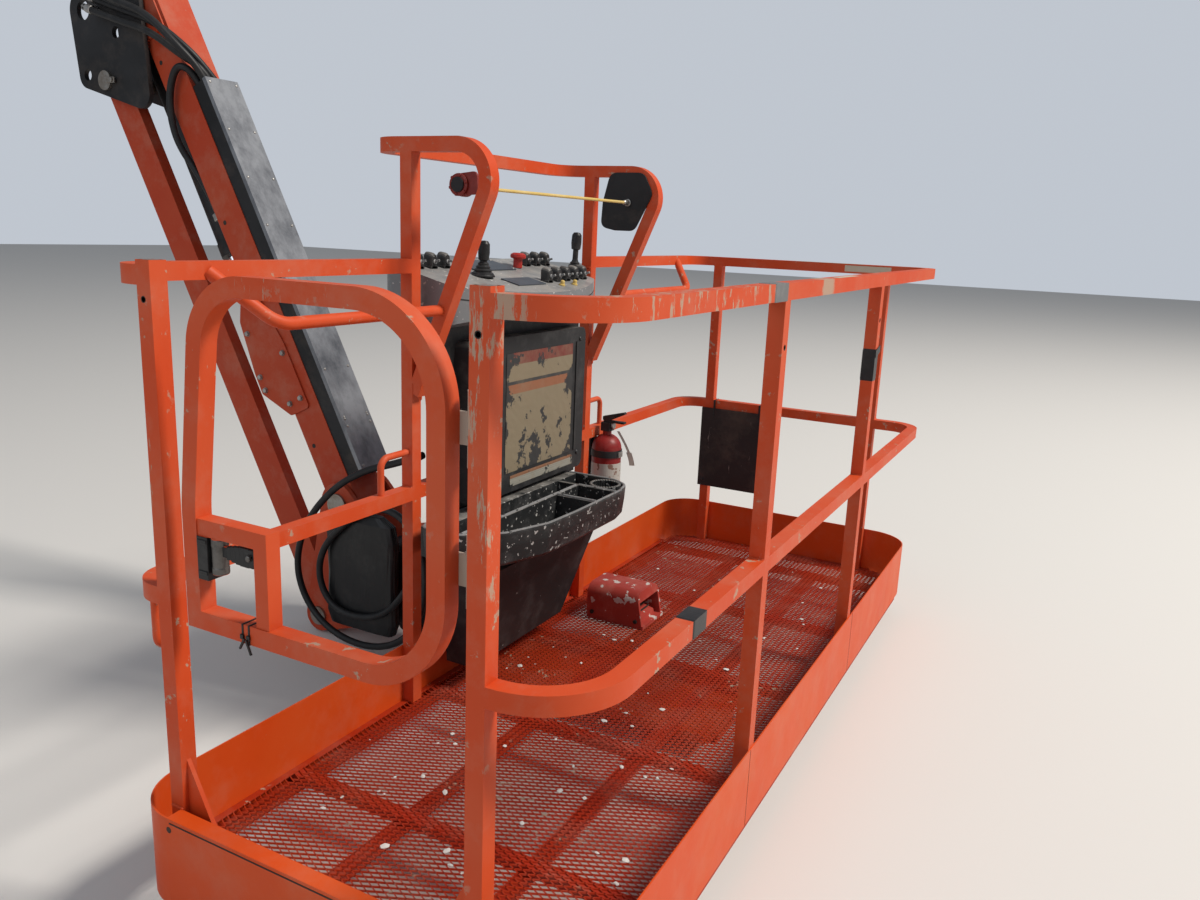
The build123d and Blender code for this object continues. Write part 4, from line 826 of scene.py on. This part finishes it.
BASE_Z = ORIGIN.z
# The upper sheet's cream is darkened to a brownish tone: partly its own faded cream, partly painted shade for the shade
# the box stands in.
SHADED_CREAM_RGB, RED_RGB, ORANGE_RGB, GAP_RGB = (0.200, 0.160, 0.100), (0.15, 0.026, 0.016), (0.24, 0.09, 0.04), (0.03, 0.03, 0.03)
UPPER = faded_sheet("upper_label", BASE_Z + 0.545, BASE_Z + 0.862,
                    [(0.0, SHADED_CREAM_RGB), (0.66, ORANGE_RGB), (0.735, GAP_RGB), (0.765, SHADED_CREAM_RGB), (0.90, RED_RGB)])
LOWER = faded_sheet("lower_label", BASE_Z + 0.505, BASE_Z + 0.535, [(0.0, (0.26, 0.25, 0.21)), (0.7, (0.22, 0.10, 0.05))])
bm = bmesh.new()
bmesh.ops.create_grid(bm, x_segments=24, y_segments=20, size=0.5, matrix=Matrix.Translation(at(0.1011, 1.205, 0.7035)) @ Matrix.Rotation(math.pi / 2, 4, "Y") @ Matrix.Diagonal((0.317, 0.340, 1, 1)))
for vertex in bm.verts:
    vertex.co.x += random.uniform(-0.0004, 0.0004)
bmesh.ops.solidify(bm, geom=bm.faces[:], thickness=0.0004)
finish_piece("document_sheet", bm, UPPER, "platform")
bm = bmesh.new()
bmesh.ops.create_grid(bm, x_segments=20, y_segments=3, size=0.5, matrix=Matrix.Translation(at(0.1011, 1.225, 0.520)) @ Matrix.Rotation(math.pi / 2, 4, "Y") @ Matrix.Diagonal((0.030, 0.33, 1, 1)))
for vertex in bm.verts:
    vertex.co.x += random.uniform(-0.0003, 0.0003)
bmesh.ops.solidify(bm, geom=bm.faces[:], thickness=0.0004)
finish_piece("lower_sheet", bm, LOWER, "platform")
bm = bmesh.new()
for y in (0.905, 1.418):
    for z in (0.535, 0.872):
        add_lathe(bm, [(0.0, 0.0070), (0.0015, 0.0070), (0.0035, 0.0050), (0.0038, 0.0020)], at(0.0999, y, z), (1, 0, 0), 18)
add_box(bm, at(0.1000, 0.935, 0.545), at(0.1030, 0.945, 0.865))
add_box(bm, at(0.1000, 1.395, 0.545), at(0.1030, 1.405, 0.865))
finish_piece("document_box_trim", bm, LATCH_BLACK, "platform", 0.0008)

# Tool tray
# A bowed black basin under the document box: one long pocket, a slot behind it and a cup at the far
# end, its walls drawn in below and its rim scuffed pale and splashed with white.
SPLASHED = plastic("splashed_tray", (0.018, 0.019, 0.020), (0.13, 0.13, 0.13), rough=0.38, specks=0.640, speck_colour=(0.46, 0.45, 0.43), speck_scale=85.0, top_paling=0.9)

TRAY_CORNERS = [(0.058, 0.716), (0.175, 0.716), (0.262, 0.800), (0.306, 0.930), (0.312, 1.060), (0.312, 1.300), (0.296, 1.372), (0.240, 1.408), (0.058, 1.408)]
TRAY_OUTLINE = rounded(TRAY_CORNERS, 0.050, 5)


def inset(outline, distance):
    """A closed outline moved inwards along its normals."""
    moved = []
    for count, here in enumerate(outline):
        before, after = Vector(outline[count - 1]), Vector(outline[(count + 1) % len(outline)])
        run = (after - before).normalized()
        moved.append((here[0] - run.y * distance, here[1] + run.x * distance))
    return moved


def inside_way(outline):
    """One where the outline runs so that inset() goes inwards, else minus one."""
    area = sum(a[0] * b[1] - b[0] * a[1] for a, b in zip(outline, outline[1:] + outline[:1]))
    return 1 if area > 0 else -1


TRAY_WAY = inside_way(TRAY_OUTLINE)
bm = bmesh.new()
rings = []
for distance, z in ((0.014, 0.390), (0.008, 0.398), (0.003, 0.440), (0.001, 0.470), (0.0015, 0.4742), (0.0045, 0.4758), (0.0085, 0.4746), (0.0105, 0.4680), (0.0145, 0.4080), (0.0200, 0.4010)):
    rings.append([bm.verts.new(at(x, y, z)) for x, y in inset(TRAY_OUTLINE, distance * TRAY_WAY)])
for first, second in zip(rings, rings[1:]):
    for step in range(len(first)):
        after = (step + 1) % len(first)
        bm.faces.new((first[step], first[after], second[after], second[step]))
bm.faces.new(rings[0])
bm.faces.new(list(reversed(rings[-1])))
for low, high in (((0.170, 0.735, 0.400), (0.184, 1.290, 0.474)), ((0.176, 1.168, 0.400), (0.302, 1.182, 0.472)), ((0.066, 1.288, 0.400), (0.302, 1.300, 0.474)), ((0.066, 0.730, 0.400), (0.116, 1.392, 0.476))):
    add_box(bm, at(*low), at(*high))
for count in range(33):
    angle = 2 * math.pi * count / 32
    place = at(0.238 + 0.041 * math.cos(angle), 1.347 + 0.041 * math.sin(angle), 0.402)
    if count:
        add_lathe(bm, [(0.0, 0.0052), (0.072, 0.0052), (0.074, 0.0030)], place, (0, 0, 1), 6)
tray = finish_piece("tray_basin", bm, SPLASHED, "platform", 0.0012)
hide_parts("tool_tray")
bm = bmesh.new()
rings = []
for step in range(8):
    angle = 2 * math.pi * step / 8
    rings.append([bm.verts.new(at(x, y, 0.4750 + 0.0028 * math.sin(angle))) for x, y in inset(TRAY_OUTLINE, (0.0052 + 0.0038 * math.cos(angle)) * TRAY_WAY)])
for count, first in enumerate(rings):
    second = rings[(count + 1) % 8]
    for step in range(len(first)):
        after = (step + 1) % len(first)
        bm.faces.new((first[step], first[after], second[after], second[step]))
for y in (1.1690, 1.2885):
    add_lathe(bm, [(-0.001, 0.0020), (0.0, 0.0042), (0.118, 0.0042), (0.119, 0.0020)], at(0.182, y + 0.006, 0.4728), (1, 0, 0), 10)
add_lathe(bm, [(-0.001, 0.0020), (0.0, 0.0042), (0.540, 0.0042), (0.541, 0.0020)], at(0.177, 0.742, 0.4732), (0, 1, 0), 10)
finish_piece("tray_rim", bm, PALE_RIM, "platform")

# Foot switch
# Red cast hood, chalky with old white paint, bolted down over its pedal.
RED_CAST = plastic("red_cast", (0.36, 0.040, 0.028), (0.50, 0.16, 0.12), rough=0.55, specks=0.60, speck_colour=(0.56, 0.50, 0.46), speck_scale=26.0)
dress(RED_CAST, ("foot_switch",), 0.004)
bm = bmesh.new()
for x in (0.150, 0.300):
    for y in (1.4700, 1.6090):
        add_lathe(bm, [(0.0, 0.0072), (0.004, 0.0072), (0.005, 0.0060)], at(x, y + (-0.0041 if y < 1.5 else 0.0041), 0.022), (0, -1 if y < 1.5 else 1, 0), 6)
for rib in range(6):
    add_box(bm, at(0.205 + rib * 0.016, 1.492, 0.0535 - rib * 0.0041), at(0.210 + rib * 0.016, 1.587, 0.0560 - rib * 0.0041))
finish_piece("foot_switch_trim", bm, DARK_HOLE, "platform", 0.0008)

# Fire extinguisher
# Dark red bottle with a blank pale label, bright bands, a black head and a white tag on a strap.
RED_BOTTLE = worn_paint("extinguisher_red", (0.20, 0.008, 0.009), (0.24, 0.016, 0.015), (0.45, 0.40, 0.36), wear=0.70, rough=0.28, dust_amount=0.18)
dress(RED_BOTTLE, ("extinguisher",))
dress(BLACK_PAINT, ("extinguisher_bracket",), 0.001)
PALE = plastic("pale_label", (0.42, 0.40, 0.36), (0.58, 0.56, 0.52), rough=0.4, specks=0.62, speck_colour=(0.20, 0.12, 0.09), speck_scale=40.0)
bm = bmesh.new()
add_lathe(bm, [(0.0, 0.0480), (0.0001, 0.0486), (0.060, 0.0486), (0.0601, 0.0480)], at(0.066, 1.680, 0.390), (0, 0, 1), 48)
finish_piece("bottle_label", bm, PALE, "platform")
bm = bmesh.new()
add_lathe(bm, [(0.0, 0.0110), (0.004, 0.0120), (0.008, 0.0115), (0.009, 0.0080)], at(0.0825, 1.680, 0.570), (1, 0, 0), 24)
for z in (0.368, 0.478):
    add_box(bm, at(0.112, 1.667, z - 0.008), at(0.1185, 1.693, z + 0.010))
finish_piece("bottle_gauge", bm, ZINC_BOLT, "platform", 0.0006)
bm = bmesh.new()
for step in range(10):
    a, b = step / 10, (step + 1) / 10
    low = at(0.118 + 0.020 * math.sin(a * 2.0), 1.655 + 0.075 * a, 0.560 - 0.125 * a)
    high = at(0.118 + 0.020 * math.sin(b * 2.0), 1.655 + 0.075 * b, 0.560 - 0.125 * b)
    wide = Vector((0.0075, 0.004, 0.0)) * (1.0 if step > 5 else 0.5)
    quad = [bm.verts.new(c) for c in (low - wide, low + wide, high + wide, high - wide)]
    bm.faces.new(quad)
bmesh.ops.solidify(bm, geom=bm.faces[:], thickness=0.0008)
finish_piece("bottle_tag", bm, PLASTER, "platform")

# Far panel
# A black board with pale scuffs tied under the middle rail.
PANEL_BROWN = worn_paint("panel_brown", (0.022, 0.016, 0.016), (0.034, 0.024, 0.024), (0.14, 0.11, 0.10), wear=0.66, rough=0.5, dust_amount=0.12,
                         worn_places=[(tuple(at(0.24, 2.40, 0.38)), (0.2, 0.05, 0.2), 0.08)])
dress(PANEL_BROWN, ("far_panel",), 0.002)
bm = bmesh.new()
for x in (0.150, 0.330):
    wrap(bm, at(x, 2.3972, 0.500), at(x + 0.005, 2.4380, 0.5628), 0, 0.0008)
for x in (0.125, 0.345):
    add_lathe(bm, [(0.0, 0.0060), (0.0015, 0.0060), (0.0032, 0.0040)], at(x, 2.3980, 0.245), (0, -1, 0), 16)
finish_piece("panel_ties", bm, LATCH_BLACK, "platform", 0.0004)

# Jib arm and link
# Duller orange paint, with bolt heads on the gusset plates and pin covers at each end.
ALONG, ACROSS = Vector((math.cos(math.radians(62.3)), 0, -math.sin(math.radians(62.3)))), Vector((math.sin(math.radians(62.3)), 0, math.cos(math.radians(62.3))))
ARM_TOP = Vector((0.1804, 0, 0.1659))


def on_arm(along, across, y):
    """Place beside the arm, given along it, across it and in Y."""
    return ARM_TOP + ALONG * along + ACROSS * across + Vector((0, y, 0))


ORANGE_JIB = worn_paint("orange_paint_jib", (0.44, 0.044, 0.011), (0.46, 0.062, 0.020), (0.35, 0.25, 0.2), wear=0.72, rough=0.42, dust_amount=0.28)
dress(ORANGE_JIB, ("jib_arm", "jib_link", "jib_head"), 0.003)
bm = bmesh.new()
for side in (-1, 1):
    for s, n in ((1.150, -0.035), (1.240, -0.110), (1.380, -0.128), (1.425, -0.128), (1.500, -0.050), (1.500, 0.0), (1.350, 0.0)):
        add_lathe(bm, [(0.0, 0.0095), (0.0025, 0.0095), (0.0026, 0.0080), (0.0080, 0.0080), (0.0090, 0.0068)], on_arm(s, n, side * 0.0684), (0, side, 0), 6)
finish_piece("arm_bolts", bm, ZINC_BOLT, "arm")
bm = bmesh.new()
for side in (-1, 1):
    for s, n in ((0.36, -0.030), (0.90, -0.030), (1.65, -0.030)):
        add_lathe(bm, [(0.0, 0.0070), (0.0006, 0.0070), (0.0008, 0.0060), (0.0003, 0.0045)], on_arm(s, n, side * 0.0624), (0, side, 0), 20)
finish_piece("arm_holes", bm, DARK_HOLE, "arm")

# Hose cover
# A scuffed zinc sheet over a black channel, held by rows of rivets.
ZINC = metal("zinc_cover", (0.26, 0.27, 0.29), (0.070, 0.075, 0.088), rough=0.38, metallic=0.5, scale=9.0, stretch=(1.0, 1.0, 0.5))
dress(ZINC, ("hose_cover",), 0.0015)
dress(BLACK_PAINT, ("hose_channel",), 0.001)
bm = bmesh.new()
for s in [0.505 + 0.158 * count for count in range(9)] + [1.617, 1.640]:
    for y in (-0.050, 0.050):
        add_lathe(bm, [(0.0, 0.0048), (0.0008, 0.0048), (0.0024, 0.0030), (0.0027, 0.0010)], on_arm(s, 0.1199, y), ACROSS, 14)
finish_piece("cover_rivets", bm, ZINC_BOLT, "arm")

# Arm hoses
# Three black hoses run from fittings on the bracket into the channel, as fixed shapes across the joint
# between them. A fourth loops down beside the arm and rides on it, held by two clamps.
HOSE_RADIUS = 0.011
HOSE_ROUTES = (
    ((0.070, -0.118, 0.030), (0.225, -0.120, -0.018), (0.368, -0.114, -0.058), (0.446, -0.060, -0.132),
     (0.4709, -0.018, -0.1853), (0.4904, 0.022, -0.2417), (0.5208, 0.038, -0.3331), (0.5625, 0.038, -0.4128)),
    ((0.070, -0.147, 0.054), (0.225, -0.149, 0.006), (0.368, -0.143, -0.0388), (0.446, -0.112, -0.120),
     (0.4825, -0.066, -0.1792), (0.4975, -0.037, -0.238), (0.5208, -0.014, -0.3331), (0.5625, -0.014, -0.4128)),
    ((0.070, -0.131, -0.004), (0.225, -0.133, -0.052), (0.356, -0.127, -0.0852), (0.434, -0.084, -0.149),
     (0.4754, -0.042, -0.183), (0.4904, -0.008, -0.2417), (0.5208, 0.012, -0.3331), (0.5625, 0.012, -0.4128)),
    ((0.5393, -0.042, -0.3685), (0.5025, -0.043, -0.2975), (0.4655, -0.043, -0.2265), (0.4531, -0.070, -0.1879),
     (0.419, -0.086, -0.181), (0.384, -0.086, -0.245), (0.377, -0.084, -0.328), (0.3905, -0.070, -0.415),
     (0.4458, -0.046, -0.4989), (0.5075, -0.036, -0.5998), (0.6098, -0.036, -0.7946)),
)
for count, route in enumerate(HOSE_ROUTES):
    line = hose_line("arm_hose_line_%d" % count, route, HOSE_RADIUS)
    mesh = bpy.data.meshes.new_from_object(line.evaluated_get(bpy.context.evaluated_depsgraph_get()))
    bpy.data.objects.remove(line)
    mesh.materials.clear()
    mesh.materials.append(RUBBER)
    hose = bpy.data.objects.new("arm_hose_%d" % count, mesh)
    bpy.context.scene.collection.objects.link(hose)
    if count < 3:
        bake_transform(hose)
    else:
        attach(hose, "arm")
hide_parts("arm_hoses")
bm = bmesh.new()
for route in HOSE_ROUTES[:3]:
    start, run = Vector(route[0]), (Vector(route[1]) - Vector(route[0])).normalized()
    add_lathe(bm, [(-0.006, 0.0085), (-0.004, 0.0120), (0.010, 0.0120), (0.012, 0.0100)], start, run, 6)
    add_lathe(bm, [(0.010, 0.0118), (0.012, 0.0132), (0.034, 0.0132), (0.036, 0.0114)], start, run, 24)
    add_box(bm, start - Vector((0.004, -0.004, 0.010)), Vector((start.x + 0.008, -0.0912, start.z + 0.010)))
finish_piece("hose_fittings", bm, ZINC_BOLT, "pivot", 0.0006)
bm = bmesh.new()
for s in (0.860, 1.020):
    add_box(bm, on_arm(s, -0.0673, -0.036) - Vector((0.012, 0.016, 0.014)), on_arm(s, -0.0673, -0.036) + Vector((0.012, 0.016, 0.014)), Matrix.Rotation(math.radians(62.3), 4, "Y"))
finish_piece("hose_clamps", bm, ZINC_BOLT, "arm", 0.003)

# Pivot bracket, pins and ram
# Black bracket, steel pins with keeper plates, a black ram with a polished rod.
STEEL = metal("pin_steel", (0.36, 0.34, 0.31), (0.18, 0.13, 0.09), rough=0.45)
CHROME = metal("ram_chrome", (0.75, 0.75, 0.77), (0.55, 0.55, 0.57), rough=0.12, metallic=1.0)
dress(BLACK_PAINT, ("pivot_bracket", "ram_barrel", "rotator_body"), 0.002)
dress(STEEL, ("pivot_pins", "head_pins"), 0.002)
dress(CHROME, ("ram_rod",))
bm = bmesh.new()
for x, z in ((0.1804, 0.1659), (0.0917, -0.2159), (0.154, -0.074)):
    for side in (-1, 1):
        if side < 0 and x == 0.154:
            continue
        add_box(bm, (x + 0.010, side * 0.0995 - 0.003, z - 0.009), (x + 0.052, side * 0.0995 + 0.003, z + 0.009))
        add_lathe(bm, [(0.0, 0.0075), (0.006, 0.0075), (0.007, 0.0062)], (x + 0.042, side * 0.1020, z), (0, side, 0), 6)
finish_piece("bracket_keepers", bm, STEEL, "pivot", 0.001)

# Rotator and valve bag
# A ring of bolts round each flange of the rotator, and a creased black bag over its valves.
VINYL = plastic("valve_bag_vinyl", (0.010, 0.010, 0.011), (0.040, 0.038, 0.036), rough=0.38, specks=0.9, grain=60.0)
bag_low, bag_high = (Vector(c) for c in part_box("valve_bundle"))
bm = bmesh.new()
bag_steps = ((0.0, 0.90), (0.10, 1.0), (0.45, 0.96), (0.80, 0.99), (0.93, 0.90), (1.0, 0.60))
rings = []
for level, size in bag_steps:
    ring = []
    z = bag_low.z + (bag_high.z - bag_low.z) * level
    for step in range(48):
        angle = 2 * math.pi * step / 48
        reach = 1.0 / (abs(math.cos(angle)) ** 5 + abs(math.sin(angle)) ** 5) ** 0.2
        crease = 1.0 - 0.035 * abs(math.sin(angle * 9 + level * 5))
        x = (bag_low.x + bag_high.x) / 2 + (bag_high.x - bag_low.x) / 2 * math.cos(angle) * reach * size * crease
        y = -0.171 + 0.0235 * math.sin(angle) * reach * size * crease
        ring.append(bm.verts.new((x, y, z)))
    rings.append(ring)
for first, second in zip(rings, rings[1:]):
    for step in range(48):
        bm.faces.new((first[step], first[(step + 1) % 48], second[(step + 1) % 48], second[step]))
bm.faces.new(rings[0])
bm.faces.new(list(reversed(rings[-1])))
add_box(bm, (bag_low.x + 0.020, -0.150, bag_low.z + 0.03), (bag_low.x + 0.100, bag_high.y - 0.0005, bag_high.z - 0.04))
bag = finish_piece("valve_bag", bm, VINYL, "head", 0.004)
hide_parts("valve_bundle")
low, high = (Vector(c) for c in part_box("rotator_body"))
centre = Vector((high.x - 0.083, 0, 0))
bm = bmesh.new()
for z, way in ((low.z + 0.0221, 1), (high.z - 0.0221, -1)):
    for step in range(12):
        angle = math.radians(-82 + step * 15)
        place = Vector((centre.x + 0.0785 * math.cos(angle), 0.0785 * math.sin(angle), z))
        add_lathe(bm, [(0.0, 0.0040), (0.004, 0.0040), (0.005, 0.0034)], place, (0, 0, way), 6)
finish_piece("rotator_bolts", bm, ZINC_BOLT, "head")
